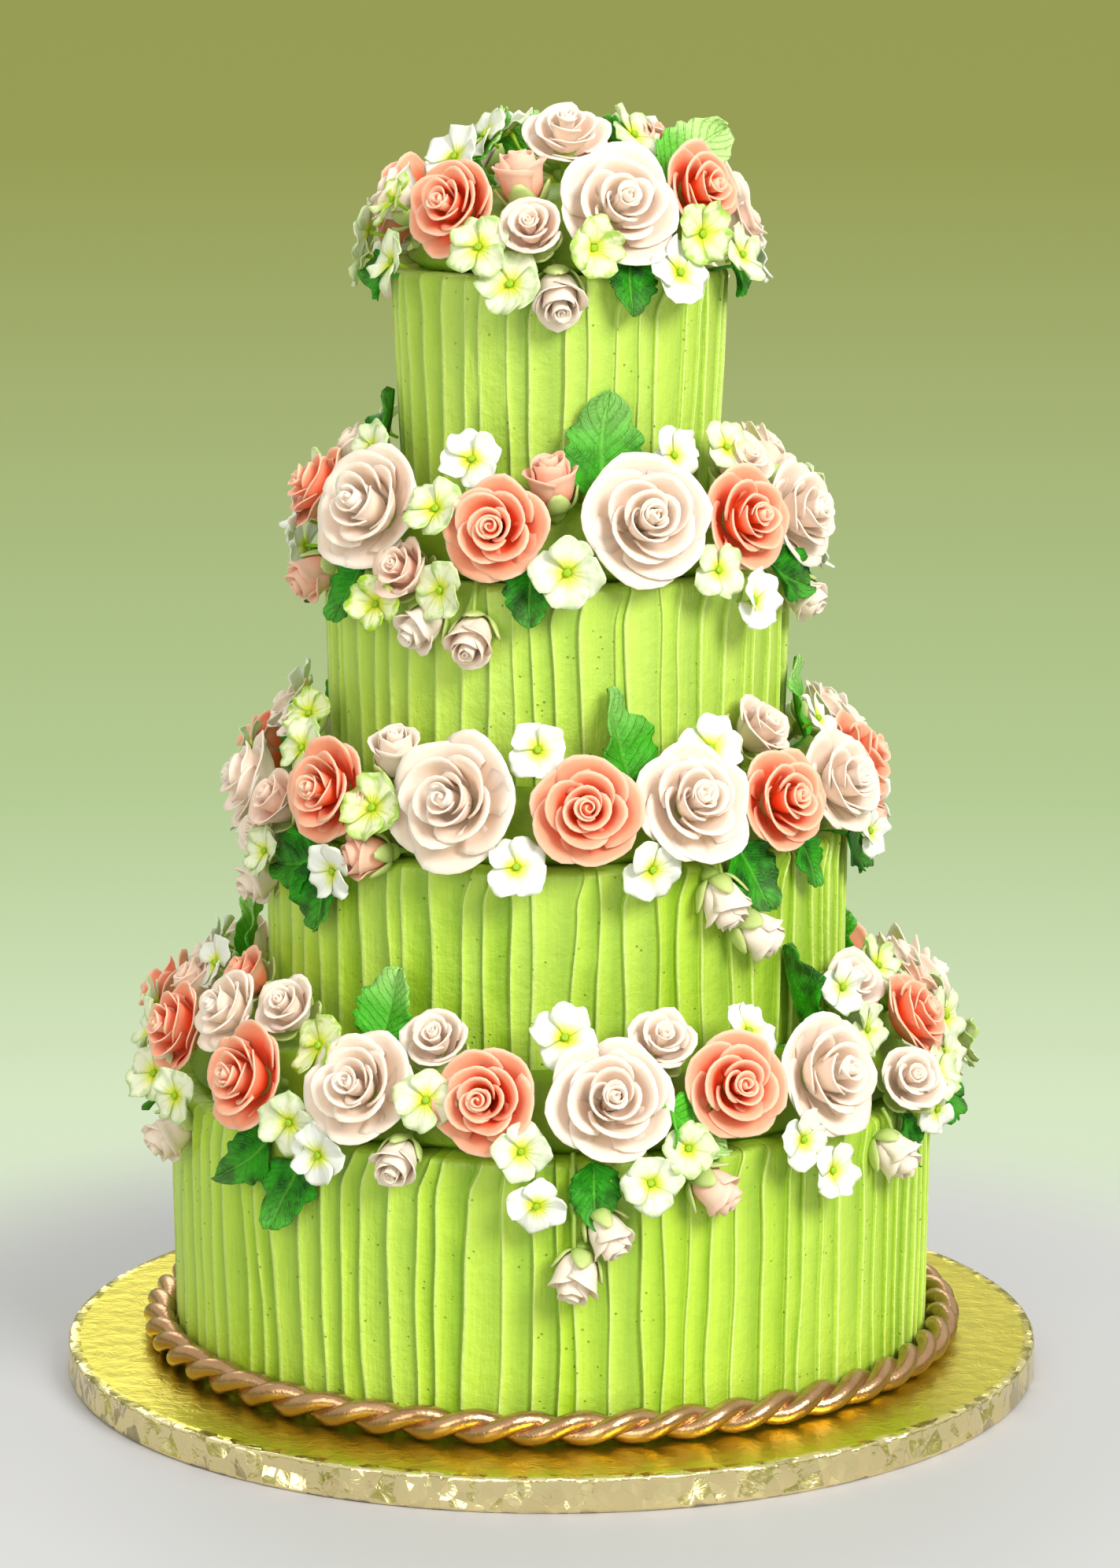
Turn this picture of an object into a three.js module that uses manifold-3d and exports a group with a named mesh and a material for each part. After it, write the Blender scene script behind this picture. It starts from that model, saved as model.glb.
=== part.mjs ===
// A four-tier wedding cake on its foil-covered board, with a twisted sugar rope round the foot and sprays of
// sugar flowers on every ledge and on the top. Millimetres, +Z up, -Y is the front.
// The origin is the centre of the board's underside.
import * as THREE from "three";
import { mergeVertices } from "three/addons/utils/BufferGeometryUtils.js";
import Module from "manifold-3d";

const wasm = await Module();
wasm.setup();

// ---------------------------------------------------------------- driving dimensions
const BOARD_RADIUS = 203.2; // a 16 inch cake drum
const BOARD_THICKNESS = 14;
const BOARD_SIDES = 56;

// From the bottom up: crest radius at the foot and at the rim, height, number of knife strokes round the
// side, and how far the tier stands to the right of the board's centre.
const TIERS = [
  { foot: 157.5, rim: 159, height: 111.5, strokes: 92, shift: 0 },
  { foot: 119, rim: 120.5, height: 106, strokes: 66, shift: 2.3 },
  { foot: 92.5, rim: 96, height: 108, strokes: 56, shift: 2.6 },
  { foot: 63, rim: 69, height: 118.5, strokes: 40, shift: 3.4 },
];
const STROKE_DEPTH = 1.7; // from the hollow before a stroke up to its lip
const STROKE_RISE = 0.16; // share of a stroke's width that the steep side of its lip takes
const STROKE_LEAN = 0.3; // how far a lip wanders from foot to rim, in stroke widths
const STROKE_WIDTHS = [0.72, 1.28]; // narrowest and widest before they are evened out

const ROPE_LOBE = 7; // half the width of the twisted pair of strands
const ROPE_WAIST = 4.2; // half its thickness
const ROPE_TWISTS = 28;
const ROPE_STEPS = 5; // sections in each twist

const GAP = 0.3; // kept between separate pieces that touch
const CUT_MARGIN = 1; // what a spray keeps clear of the cake's side
const CUT_SIDES = 36;

const PEAK = 54; // height over the ledge where a spray's outline meets the tier above
const PEAK_REACH = 7; // how far it still stands off that tier there
const DOME = 58; // height of the top spray's outline over the cake
const OVERHANG = 9; // how far a spray reaches past the rim that it lies on
const LEDGE_TILT = { start: 8, gain: 0.5, most: 24 }; // degrees a ledge's flower looks up, by its height
const TOP_TILT = { start: 12, more: 60, power: 3 }; // and one on the top, steepest at the crown
const HIGH = 33; // a flower over this height is tucked in behind the outline
const HANGING = -5; // one under this height keeps to the mound by a stalk
const STALK_RADIUS = 2.4;
const MOUND_INSET = 11; // how far the icing mound stays inside a spray's outline
const MOUND_CLEAR = 4; // and off the tier above
const MOUND_HEIGHTS = [18, 45]; // where its slope bends and ends
const MOUND_TOP = 49; // the middle of the mound on the top of the cake
const MOUND_LIP = 5; // how far it laps over the rim
const MOUND_SIDES = 14;

const ROSE_SIDES = 10; // two for each of the five outer petals

// Every flower is [kind, azimuth, height over the ledge, size, lean]. Azimuth 0 is the front and 90 the
// right. Lean is the way that a leaf, bud or hanging flower points as seen from outside: 0 up, 90 right.
const SPRAYS = [
  {
    tier: 0,
    roses: [
      ["coral", -70, 29, 39], ["ivory", -58, 42, 36], ["coral", -47, 22, 43], ["ivory", -27, 26, 45],
      ["coral", -9, 25, 41], ["ivory", 8, 25, 49], ["coral", 26, 27, 41], ["ivory", 42, 26, 49],
      ["coral", 68, 35, 38],
    ],
    small: [
      ["cup", -48, 47, 26, 30], ["cup", -68, 51, 23, 0], ["cup", -18, 44, 26, 0], ["cup", 17, 44, 26, 0],
      ["cup", 60, 15, 25, 60], ["cup", 63, 50, 24, 20],
      ["bud", -69, -16, 24, -125], ["bud", -21, -2, 24, 180], ["bud", 8, -29, 24, 150],
      ["bud", 3, -46, 25, -165], ["bud", 23, -14, 25, 130], ["bud", 56, -16, 25, 165],
      ["blossom", -73, 8, 25], ["blossom", -63, 6, 23], ["blossom", -36, 37, 24], ["blossom", -37, 10, 25],
      ["blossom", -32, -1, 24], ["blossom", -17, 24, 24], ["blossom", -4, 7, 24], ["blossom", -2, -14, 24],
      ["blossom", 13, -7, 25], ["blossom", 18, 6, 23], ["blossom", 2, 45, 26], ["blossom", 31, 43, 25],
      ["blossom", 57, 50, 23], ["blossom", 54, 36, 23], ["blossom", 76, 38, 23], ["blossom", 73, 15, 23],
      ["blossom", 66, -1, 22], ["blossom", 35, 4, 23], ["blossom", 40, -11, 23], ["blossom", -82, 21, 24],
      ["leaf", -47, -10, 30, -130], ["leaf", -39, -20, 28, -160], ["leaf", -29, 50, 30, 10],
      ["leaf", 6, -11, 25, 175], ["leaf", 19, 12, 30, 130], ["leaf", 49, 50, 32, 0],
      ["leaf", 79, -6, 30, 110], ["leaf", 62, -12, 22, 170],
    ],
    back: { roses: 8, from: 96, to: 272 },
  },
  {
    tier: 1,
    roses: [
      ["ivory", -79, 20, 40], ["coral", -46, 26, 42], ["ivory", -19, 27, 53], ["coral", 5, 25, 43],
      ["ivory", 25, 26, 49], ["coral", 45, 23, 42], ["ivory", 65, 24, 43], ["coral", 82, 28, 40],
    ],
    small: [
      ["cup", -35, 45, 26, 20], ["cup", -74, 47, 22, -20], ["cup", -69, 3, 22, -60], ["cup", 50, 49, 26, 20],
      ["bud", -37, 3, 24, -110], ["bud", -72, -20, 22, -130], ["bud", 31, -17, 26, 165],
      ["bud", 39, -30, 26, 130], ["bud", 86, 2, 22, 100],
      ["blossom", -34, 22, 25], ["blossom", -42, -4, 24], ["blossom", -60, 38, 25], ["blossom", -67, 49, 22],
      ["blossom", -63, -4, 22], ["blossom", -4, 46, 24], ["blossom", -7, 3, 24], ["blossom", 16, 2, 25],
      ["blossom", 32, 44, 26], ["blossom", 70, 46, 23], ["blossom", 75, 0, 22],
      ["leaf", -57, -6, 30, -105], ["leaf", -49, -16, 28, 180], ["leaf", -90, 38, 26, -50],
      ["leaf", 14, 48, 36, -12], ["leaf", 38, -5, 28, 155], ["leaf", 82, 50, 32, 0],
      ["leaf", 79, -9, 28, 130], ["leaf", 54, -5, 20, 160],
    ],
    back: { roses: 6, from: 96, to: 268 },
  },
  {
    tier: 2,
    roses: [
      ["coral", -79, 31, 38], ["ivory", -49, 28, 51], ["coral", -14, 23, 41], ["ivory", 20, 26, 51],
      ["coral", 47, 24, 42], ["ivory", 74, 22, 43],
    ],
    small: [
      ["cup", -2, 43, 24, 0], ["cup", -36, 6, 25, -30], ["cup", 62, 45, 26, 30], ["cup", -90, 46, 22, -20],
      ["bud", -32, -18, 24, -150], ["bud", -19, -22, 25, 180], ["bud", -76, -6, 23, -110],
      ["bud", 76, -14, 22, 130], ["bud", 88, 40, 22, 60],
      ["blossom", -24, 47, 24], ["blossom", -28, 29, 26], ["blossom", -25, -1, 25], ["blossom", -42, -9, 23],
      ["blossom", 2, 7, 28], ["blossom", 33, 48, 23], ["blossom", 36, 5, 23], ["blossom", 46, -9, 25],
      ["blossom", 56, 49, 22], ["blossom", -86, 17, 24], ["blossom", -64, 48, 22],
      ["leaf", -6, -2, 24, 175], ["leaf", 15, 48, 40, 0], ["leaf", 66, -2, 28, 120],
      ["leaf", -82, 50, 36, 5], ["leaf", -56, -6, 26, -150],
    ],
    back: { roses: 4, from: 98, to: 262 },
  },
  {
    tier: 3,
    roses: [
      ["coral", -38, 27, 40], ["ivory", 20, 30, 51], ["coral", 61, 33, 38], ["ivory", 112, 26, 42],
      ["coral", 156, 26, 40], ["ivory", -158, 28, 46], ["coral", -115, 26, 39], ["ivory", 5, 55, 40],
    ],
    small: [
      ["cup", -9, 20, 26, 0], ["cup", -18, 41, 23, -30], ["cup", 92, 50, 22, 30], ["cup", 134, 12, 25, 0],
      ["cup", -179, 14, 26, 0], ["cup", -84, 30, 27, -40], ["cup", 178, 50, 27, 0],
      ["bud", 1, -9, 25, 180], ["bud", -120, -8, 24, 180], ["bud", 128, -9, 24, 180],
      ["blossom", -63, 44, 26], ["blossom", -70, 27, 24], ["blossom", -56, 4, 23], ["blossom", -24, 11, 26],
      ["blossom", -14, -3, 27], ["blossom", 9, 12, 25], ["blossom", 36, 1, 28], ["blossom", 47, 16, 27],
      ["blossom", 66, 6, 25], ["blossom", 95, 4, 24], ["blossom", 162, 6, 25], ["blossom", -160, 4, 25],
      ["blossom", -120, 10, 25], ["blossom", -150, 50, 24], ["blossom", 120, 50, 24], ["blossom", -96, 4, 24],
      ["leaf", -100, 50, 30, 0], ["leaf", 86, 40, 30, 70], ["leaf", -82, -2, 24, -95],
      ["leaf", 22, -5, 28, 180], ["leaf", 84, 0, 26, 100], ["leaf", 140, -3, 26, 170],
      ["leaf", -138, -3, 26, 190],
    ],
  },
];

// ---------------------------------------------------------------- small helpers
const radians = THREE.MathUtils.degToRad;
const RIGHT = new THREE.Vector3(1, 0, 0);

// A repeatable number from 0 to 1 for a seed.
function scatter(seed) {
  const x = Math.sin(seed * 12.9898 + 4.1) * 43758.5453;
  return x - Math.floor(x);
}

// A closed skin over rings of points that all have the same count, each ring given anticlockwise as seen
// from the last ring's side. The ends are closed to a point each, or the last ring joins the first.
function loft(rings, first, last) {
  const count = rings[0].length;
  const points = rings.flat();
  const faces = [];
  const closed = !first;
  const bands = closed ? rings.length : rings.length - 1;
  for (let r = 0; r < bands; r++) {
    const here = r * count;
    const above = ((r + 1) % rings.length) * count;
    for (let i = 0; i < count; i++) {
      const j = (i + 1) % count;
      faces.push(here + i, here + j, above + j, here + i, above + j, above + i);
    }
  }
  if (!closed) {
    const top = (rings.length - 1) * count;
    points.push(first, last);
    for (let i = 0; i < count; i++) {
      const j = (i + 1) % count;
      faces.push(points.length - 2, j, i, points.length - 1, top + i, top + j);
    }
  }
  return new THREE.BufferGeometry().setFromPoints(points).setIndex(faces);
}

// A ring of points round +Z: radius and height may change with the step.
function ring(count, radius, height, turn = 0) {
  return Array.from({ length: count }, (_, i) => {
    const angle = ((i + turn) / count) * 2 * Math.PI;
    return new THREE.Vector3(radius(i) * Math.cos(angle), radius(i) * Math.sin(angle), height(i));
  });
}

function toSolid(geometry) {
  const bare = geometry.clone();
  bare.deleteAttribute("normal");
  bare.deleteAttribute("uv");
  const merged = mergeVertices(bare, 1e-4);
  return new wasm.Manifold(new wasm.Mesh({
    numProp: 3,
    vertProperties: merged.attributes.position.array,
    triVerts: new Uint32Array(merged.index.array),
  }));
}

function toGeometry(manifold) {
  const mesh = manifold.getMesh();
  return new THREE.BufferGeometry()
    .setAttribute("position", new THREE.BufferAttribute(mesh.vertProperties, 3))
    .setIndex(new THREE.BufferAttribute(mesh.triVerts, 1));
}

// ---------------------------------------------------------------- where things stand
// The height of each tier's underside, and last the top of the cake.
const LEVELS = TIERS.reduce((levels, tier) => [...levels, levels.at(-1) + tier.height], [BOARD_THICKNESS]);

// How far out a spray's outline is at a height over its ledge.
function outlineRadius(spray, height) {
  const reach = TIERS[spray.tier].rim + OVERHANG;
  if (height <= 0) return reach;
  const above = TIERS[spray.tier + 1];
  if (!above) return reach * Math.sqrt(1 - (height / DOME) ** 2);
  const wall = above.foot + PEAK_REACH;
  return wall + (reach - wall) * Math.sqrt(Math.max(0, 1 - (height / PEAK) ** 2));
}

// How far a flower looks up, in degrees: those on the rim look out, those higher up look to the sky.
function outlineTilt(spray, height) {
  const onTop = spray.tier === TIERS.length - 1;
  if (onTop) return TOP_TILT.start + TOP_TILT.more * (height / DOME) ** TOP_TILT.power;
  return THREE.MathUtils.clamp(LEDGE_TILT.start + LEDGE_TILT.gain * height, 0, LEDGE_TILT.most);
}

// How far inside the outline a flower sits: leaves are tucked in behind, and what stands high leans in.
const INSETS = { leaf: { high: 12, low: 5 }, bud: { high: 9, low: 0 }, cup: { high: 5, low: 0 } };
INSETS.blossom = INSETS.cup;

function insetOf(kind, height) {
  const inset = INSETS[kind];
  if (!inset) return 0;
  return height > HIGH ? inset.high : inset.low;
}

// The frame of a flower: its own +Z looks out of the cake and its own +Y is turned up.
function placeOf(spray, kind, azimuth, height) {
  const around = radians(azimuth);
  const tilt = radians(outlineTilt(spray, height));
  const radius = outlineRadius(spray, height) - insetOf(kind, height);
  const outward = new THREE.Vector3(Math.sin(around), -Math.cos(around), 0);
  const facing = outward.clone().multiplyScalar(Math.cos(tilt)).setZ(Math.sin(tilt));
  const right = new THREE.Vector3(Math.cos(around), Math.sin(around), 0);
  const up = facing.clone().cross(right);
  const position = outward.clone().multiplyScalar(radius);
  position.x += TIERS[spray.tier].shift;
  position.z = LEVELS[spray.tier + 1] + height;
  return new THREE.Matrix4().makeBasis(right, up, facing).setPosition(position);
}

// ---------------------------------------------------------------- board, rope and tiers
function boardGeometry() {
  const board = new THREE.CylinderGeometry(BOARD_RADIUS, BOARD_RADIUS, BOARD_THICKNESS, BOARD_SIDES);
  return board.rotateX(Math.PI / 2).translate(0, 0, BOARD_THICKNESS / 2);
}

// Two strands twisted together, as one solid: a waisted section that turns on its way round the cake.
function ropeGeometry() {
  const section = [[ROPE_LOBE, 0], [0, -ROPE_WAIST], [-ROPE_LOBE, 0], [0, ROPE_WAIST]];
  const centreRadius = TIERS[0].foot + GAP + ROPE_LOBE;
  const centreHeight = BOARD_THICKNESS + GAP + ROPE_LOBE;
  const steps = ROPE_TWISTS * ROPE_STEPS;
  const rings = Array.from({ length: steps }, (_, i) => {
    const around = (i / steps) * 2 * Math.PI;
    const turn = around * ROPE_TWISTS;
    return section.map(([across, thick]) => {
      const out = centreRadius + across * Math.cos(turn) - thick * Math.sin(turn);
      const up = centreHeight + across * Math.sin(turn) + thick * Math.cos(turn);
      return new THREE.Vector3(out * Math.sin(around), -out * Math.cos(around), up);
    });
  });
  return loft(rings);
}

// The azimuths where the strokes round a tier begin, uneven in width as the knife left them.
function strokeStarts(strokes, seed) {
  const [least, most] = STROKE_WIDTHS;
  const widths = Array.from({ length: strokes }, (_, i) => least + (most - least) * scatter(i + 100 * seed));
  const total = widths.reduce((sum, width) => sum + width, 0);
  let start = 0;
  return widths.map((width) => {
    start += (width / total) * 2 * Math.PI;
    return start;
  });
}

// One tier: from left to right every stroke is a steep rise to its lip, then a slow fall to the next rise.
function tierGeometry(index) {
  const { foot, rim, height, strokes } = TIERS[index];
  const starts = strokeStarts(strokes, index);
  const mean = (2 * Math.PI) / strokes;
  const outline = (radius, z, lean) => starts.flatMap((start, i) => {
    const lip = start + lean * mean * STROKE_LEAN * (scatter(i + 100 * index + 50) - 0.5);
    return [[lip, radius - STROKE_DEPTH], [lip + mean * STROKE_RISE, radius]].map(([angle, out]) =>
      new THREE.Vector3(out * Math.cos(angle), out * Math.sin(angle), z));
  });
  return loft([outline(foot, 0, -1), outline(rim, height, 1)],
    new THREE.Vector3(0, 0, 0), new THREE.Vector3(0, 0, height));
}

// ---------------------------------------------------------------- flowers, each looking along its own +Z
// A full rose: a cone behind, five rolled outer petals, and the closed heart standing proud of them.
function roseGeometry(size, seed) {
  const half = size / 2;
  const turns = (even, odd) => (i) => half * (i % 2 ? odd : even);
  const outer = ring(ROSE_SIDES, turns(1, 0.9), turns(-0.02, 0.12), seed);
  const middle = ring(ROSE_SIDES, turns(0.6, 0.7), turns(0.38, 0.3), seed);
  return loft([outer, middle], new THREE.Vector3(0, 0, -0.62 * half), new THREE.Vector3(0, 0, 0.54 * half));
}

// The room that a spray leaves for a rose: a plain shape that holds all of it.
function roseRoomGeometry(size) {
  const half = size / 2;
  const widest = ring(6, () => half * 1.22, () => 0);
  return loft([widest], new THREE.Vector3(0, 0, -0.82 * half), new THREE.Vector3(0, 0, half));
}

// A half-open small rose: a cup with its heart standing proud, on a short stem.
function cupGeometry(size) {
  const half = size / 2;
  const mouth = ring(6, () => half, () => half * 0.1);
  return loft([mouth], new THREE.Vector3(0, 0, -1.5 * half), new THREE.Vector3(0, 0, 0.6 * half));
}

// A rosebud on its calyx, with its flared mouth towards +Z.
function budGeometry(size) {
  const half = size / 2;
  const mouth = ring(5, () => half * 0.8, () => half * 0.35);
  return loft([mouth], new THREE.Vector3(0, 0, -1.25 * half), new THREE.Vector3(0, 0, half * 0.65));
}

// A blossom of four petals between four notches, on a slim stem that spreads from the notches.
function blossomGeometry(size) {
  const half = size / 2;
  const rim = ring(8, (i) => half * (i % 2 ? 1 : 0.5), (i) => half * (i % 2 ? 0.16 : 0));
  const centre = rim.length;
  const stem = rim.length + 1;
  const faces = [];
  for (let notch = 0; notch < rim.length; notch += 2) {
    const [tip, next] = [notch + 1, (notch + 2) % rim.length];
    faces.push(centre, notch, tip, centre, tip, next, notch, next, tip, stem, next, notch);
  }
  const points = [...rim, new THREE.Vector3(0, 0, 0.14 * half), new THREE.Vector3(0, 0, -1.1 * half)];
  return new THREE.BufferGeometry().setFromPoints(points).setIndex(faces);
}

// A cupped leaf whose tip is along +Y and whose stalk end is at the origin.
function leafGeometry(size) {
  const outline = [[0, 0], [0.38, 0.25], [0.36, 0.68], [0, 1], [-0.36, 0.68], [-0.38, 0.25]];
  const thick = 0.07 * size;
  const curl = (y) => 0.22 * size * y * y;
  const edge = outline.map(([x, y], i) =>
    new THREE.Vector3(x * size, y * size, curl(y) + (i % 2 ? 0.05 : -0.02) * size));
  const middle = (lift) => new THREE.Vector3(0, 0.5 * size, curl(0.5) - 0.05 * size + lift);
  return loft([edge], middle(-thick), middle(thick));
}

// Turns a piece about its own facing so that its +Y points along the lean.
function leaning(geometry, lean) {
  return geometry.rotateZ(-radians(lean));
}

const SMALL = {
  cup: ([, , , size, lean]) => leaning(cupGeometry(size).rotateX(-radians(18)), lean),
  bud: ([, , , size, lean]) => leaning(budGeometry(size).rotateX(-radians(58)), lean),
  blossom: ([, azimuth, , size]) => blossomGeometry(size).rotateZ(azimuth),
  leaf: ([, , , size, lean]) => leaning(leafGeometry(size).translate(0, -0.45 * size, 0), lean),
};

// ---------------------------------------------------------------- sprays
// The far side of a spray, which repeats a rule: large roses evenly spaced, a small flower over and under
// each gap, and a leaf or a hanging bud now and then.
function backOf({ roses, from, to }) {
  const step = (to - from) / roses;
  const found = { roses: [], small: [] };
  for (let i = 0; i < roses; i++) {
    const azimuth = from + (i + 0.5) * step;
    const gap = azimuth + 0.5 * step;
    found.roses.push(i % 2 ? ["coral", azimuth, 24, 42] : ["ivory", azimuth, 26, 49]);
    if (i % 2) found.small.push(["blossom", azimuth, 48, 24]);
    if (i === roses - 1) continue;
    found.small.push(i % 2 ? ["cup", gap, 42, 26, 0] : ["leaf", gap, 46, 32, 0]);
    found.small.push(i % 3 ? ["blossom", gap, 8, 25] : ["cup", gap, 7, 25, 180]);
    found.small.push(i % 2 ? ["leaf", gap, -8, 26, 165] : ["bud", gap, -14, 24, 180]);
  }
  return found;
}

// The icing mound that the flowers are pressed into, as a closed ring on a ledge or a low dome on the top.
function moundGeometry(spray) {
  const lower = TIERS[spray.tier];
  const above = TIERS[spray.tier + 1];
  const wall = above ? above.foot + MOUND_CLEAR : 0;
  const lip = lower.rim + MOUND_LIP;
  const slope = MOUND_HEIGHTS.map((height) => [outlineRadius(spray, height) - MOUND_INSET, height]);
  const end = above ? [wall, 0] : [0, MOUND_TOP];
  const profile = [[wall, 0], [lip, 0], [lip, MOUND_LIP], ...slope, end];
  const points = profile.map(([x, y]) => new THREE.Vector2(x, y));
  return new THREE.LatheGeometry(points, MOUND_SIDES)
    .rotateX(Math.PI / 2)
    .translate(lower.shift, 0, LEVELS[spray.tier + 1] + 2 * GAP);
}

// The stalk that a hanging flower keeps to: a slim spindle from the flower up to the lip of the mound.
function stalkGeometry(height) {
  const top = new THREE.Vector3(0, MOUND_LIP - height, -OVERHANG);
  const middle = ring(3, () => STALK_RADIUS, () => 0);
  middle.forEach((point) => {
    point.applyAxisAngle(RIGHT, -Math.PI / 2);
    point.add(new THREE.Vector3(0, 0.6 * top.y, 0.6 * top.z));
  });
  return loft([middle], new THREE.Vector3(0, 0, 0), top);
}

// The room that a tier takes, with the margin a spray keeps from it.
function tierRoom(index) {
  const { foot, rim, height, shift } = TIERS[index];
  return toSolid(
    new THREE.CylinderGeometry(rim + CUT_MARGIN, foot + CUT_MARGIN, height + GAP, CUT_SIDES)
      .rotateX(Math.PI / 2)
      .translate(shift, 0, LEVELS[index] + (height + GAP) / 2),
  );
}

function spraySolid(spray, roses) {
  const pieces = [toSolid(moundGeometry(spray))];
  for (const flower of spray.small) {
    const [kind, azimuth, height] = flower;
    pieces.push(toSolid(SMALL[kind](flower).applyMatrix4(placeOf(spray, kind, azimuth, height))));
    if (height > HANGING) continue;
    pieces.push(toSolid(stalkGeometry(height).applyMatrix4(placeOf(spray, "stalk", azimuth, height))));
  }
  const rooms = roses.map(([, azimuth, height, size]) =>
    toSolid(roseRoomGeometry(size).applyMatrix4(placeOf(spray, "rose", azimuth, height))));
  rooms.push(tierRoom(spray.tier));
  if (spray.tier + 1 < TIERS.length) rooms.push(tierRoom(spray.tier + 1));
  const cut = wasm.Manifold.union(pieces).subtract(wasm.Manifold.union(rooms));
  return cut.decompose().sort((a, b) => b.volume() - a.volume())[0];
}

// ---------------------------------------------------------------- materials and assembly
const MATERIALS = {
  buttercream: new THREE.MeshStandardMaterial({ color: 0xa9c73e, roughness: 0.5 }),
  ivory: new THREE.MeshStandardMaterial({ color: 0xf3dcc8, roughness: 0.6 }),
  coral: new THREE.MeshStandardMaterial({ color: 0xf0a184, roughness: 0.6 }),
  foliage: new THREE.MeshStandardMaterial({ color: 0xcfdc9c, roughness: 0.6 }),
  rope: new THREE.MeshStandardMaterial({ color: 0xb08d5f, roughness: 0.35, metalness: 1 }),
  foil: new THREE.MeshStandardMaterial({ color: 0xc8a94a, roughness: 0.25, metalness: 1 }),
};

const cake = new THREE.Group();

function add(name, geometry, material) {
  const mesh = new THREE.Mesh(geometry, MATERIALS[material]);
  mesh.name = name;
  cake.add(mesh);
  return mesh;
}

add("board", boardGeometry(), "foil");
add("rope_border", ropeGeometry(), "rope");

TIERS.forEach((tier, index) => {
  add(`tier_${index + 1}`, tierGeometry(index), "buttercream").position.set(tier.shift, 0, LEVELS[index]);
});

SPRAYS.forEach((spray, index) => {
  const back = spray.back ? backOf(spray.back) : { roses: [], small: [] };
  const whole = { tier: spray.tier, small: [...spray.small, ...back.small] };
  const roses = [...spray.roses, ...back.roses];
  roses.forEach(([kind, azimuth, height, size], i) => {
    const geometry = roseGeometry(size, scatter(i + 10 * index));
    const name = `rose_${index + 1}_${String(i + 1).padStart(2, "0")}_${kind}`;
    add(name, geometry.applyMatrix4(placeOf(whole, "rose", azimuth, height)), kind);
  });
  add(`spray_${index + 1}`, toGeometry(spraySolid(whole, roses)), "foliage");
});

export default cake;
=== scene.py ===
"""The finish of a four-tier wedding cake: knife-stroked lime buttercream, a gold foil drum, a twisted gold
rope and sprays of sugar roses, buds, blossoms and leaves.

Sizes are in millimetres until a mesh is made. +Z is up and -Y is the front. Azimuth 0 is the front, 90 the
right."""

import math
from collections import namedtuple

import bmesh
import bpy
import numpy as np
from mathutils import Matrix, Vector


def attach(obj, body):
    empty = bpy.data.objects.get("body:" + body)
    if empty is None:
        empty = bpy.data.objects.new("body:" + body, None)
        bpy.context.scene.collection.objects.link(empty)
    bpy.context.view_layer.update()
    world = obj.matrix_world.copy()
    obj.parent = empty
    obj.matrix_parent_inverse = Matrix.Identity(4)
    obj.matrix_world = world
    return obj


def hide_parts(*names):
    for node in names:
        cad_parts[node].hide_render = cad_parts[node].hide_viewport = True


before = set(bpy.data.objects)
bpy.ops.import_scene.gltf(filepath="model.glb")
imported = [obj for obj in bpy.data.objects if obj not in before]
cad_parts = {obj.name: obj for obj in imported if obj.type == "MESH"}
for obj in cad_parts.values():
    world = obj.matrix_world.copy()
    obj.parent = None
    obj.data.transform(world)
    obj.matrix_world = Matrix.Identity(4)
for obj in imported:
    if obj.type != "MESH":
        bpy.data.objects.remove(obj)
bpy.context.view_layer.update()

MM = 0.001
ONE_SPOT = 1e-6  # points closer than this, in metres, are one
BODY = "root"

# ---------------------------------------------------------------- sizes shared with the model
Tier = namedtuple("Tier", "foot rim height strokes shift")
TIERS = [
    Tier(157.5, 159.0, 111.5, 92, 0.0),
    Tier(119.0, 120.5, 106.0, 66, 2.3),
    Tier(92.5, 96.0, 108.0, 56, 2.6),
    Tier(63.0, 69.0, 118.5, 40, 3.4),
]
BOARD_RADIUS = 203.2
BOARD_THICKNESS = 14.0
LEVELS = [BOARD_THICKNESS]
for tier in TIERS:
    LEVELS.append(LEVELS[-1] + tier.height)
STROKE_DEPTH = 1.7

ROPE_LOBE = 7.0
ROPE_TWISTS = 25
GAP = 0.3  # between the rope and what it lies against

PEAK, PEAK_REACH = 54.0, 7.0  # how high a spray reaches up the next tier, and how far it stands off there
DOME, OVERHANG = 58.0, 9.0  # how high the top spray is, and how far all sprays hang over their rim
LEDGE_TILT = dict(start=8.0, gain=0.5, most=24.0)
TOP_TILT = dict(start=12.0, more=60.0, power=3.0)
HIGH, HANGING = 33.0, -5.0  # flowers are set in deeper above the first height, and hang below the second
# How deep each kind is set in above that height, and below it.
INSETS = {"leaf": (12.0, 5.0), "bud": (9.0, 0.0), "nodding": (9.0, 0.0), "open bud": (5.0, 0.0),
          "cup": (5.0, 0.0), "blossom": (5.0, 0.0)}

# Tones: of roses and buds from ivory to coral, of blossoms from white to lime, of leaves from deep to pale.
IVORY, PEACH, CORAL = 0.0, 0.5, 1.0
WHITE, TINGED, LIME = 0.0, 0.55, 1.0
DEEP, PALE = 0.0, 1.0
BLOSSOM_STEP = 3.0  # how far blossoms stand in front of the petals beside them
SIDE_SWING = 0.6  # how far blossoms at the sides are turned back to the front, in degrees a degree

# Height is over the ledge. Lean is the way that a flower or leaf points as seen from outside: 0 up, 90 right.
# Swing is how far one is turned about its own upright, left being negative, and step how far it stands out.
# Back is how many large roses stand behind the cake, and the azimuths between which they do.
Rose = namedtuple("Rose", "colour azimuth height size swing", defaults=(0,))
Flower = namedtuple("Flower", "kind azimuth height size lean tone swing step", defaults=(0, 0))
Spray = namedtuple("Spray", "tier roses small back")


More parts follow.
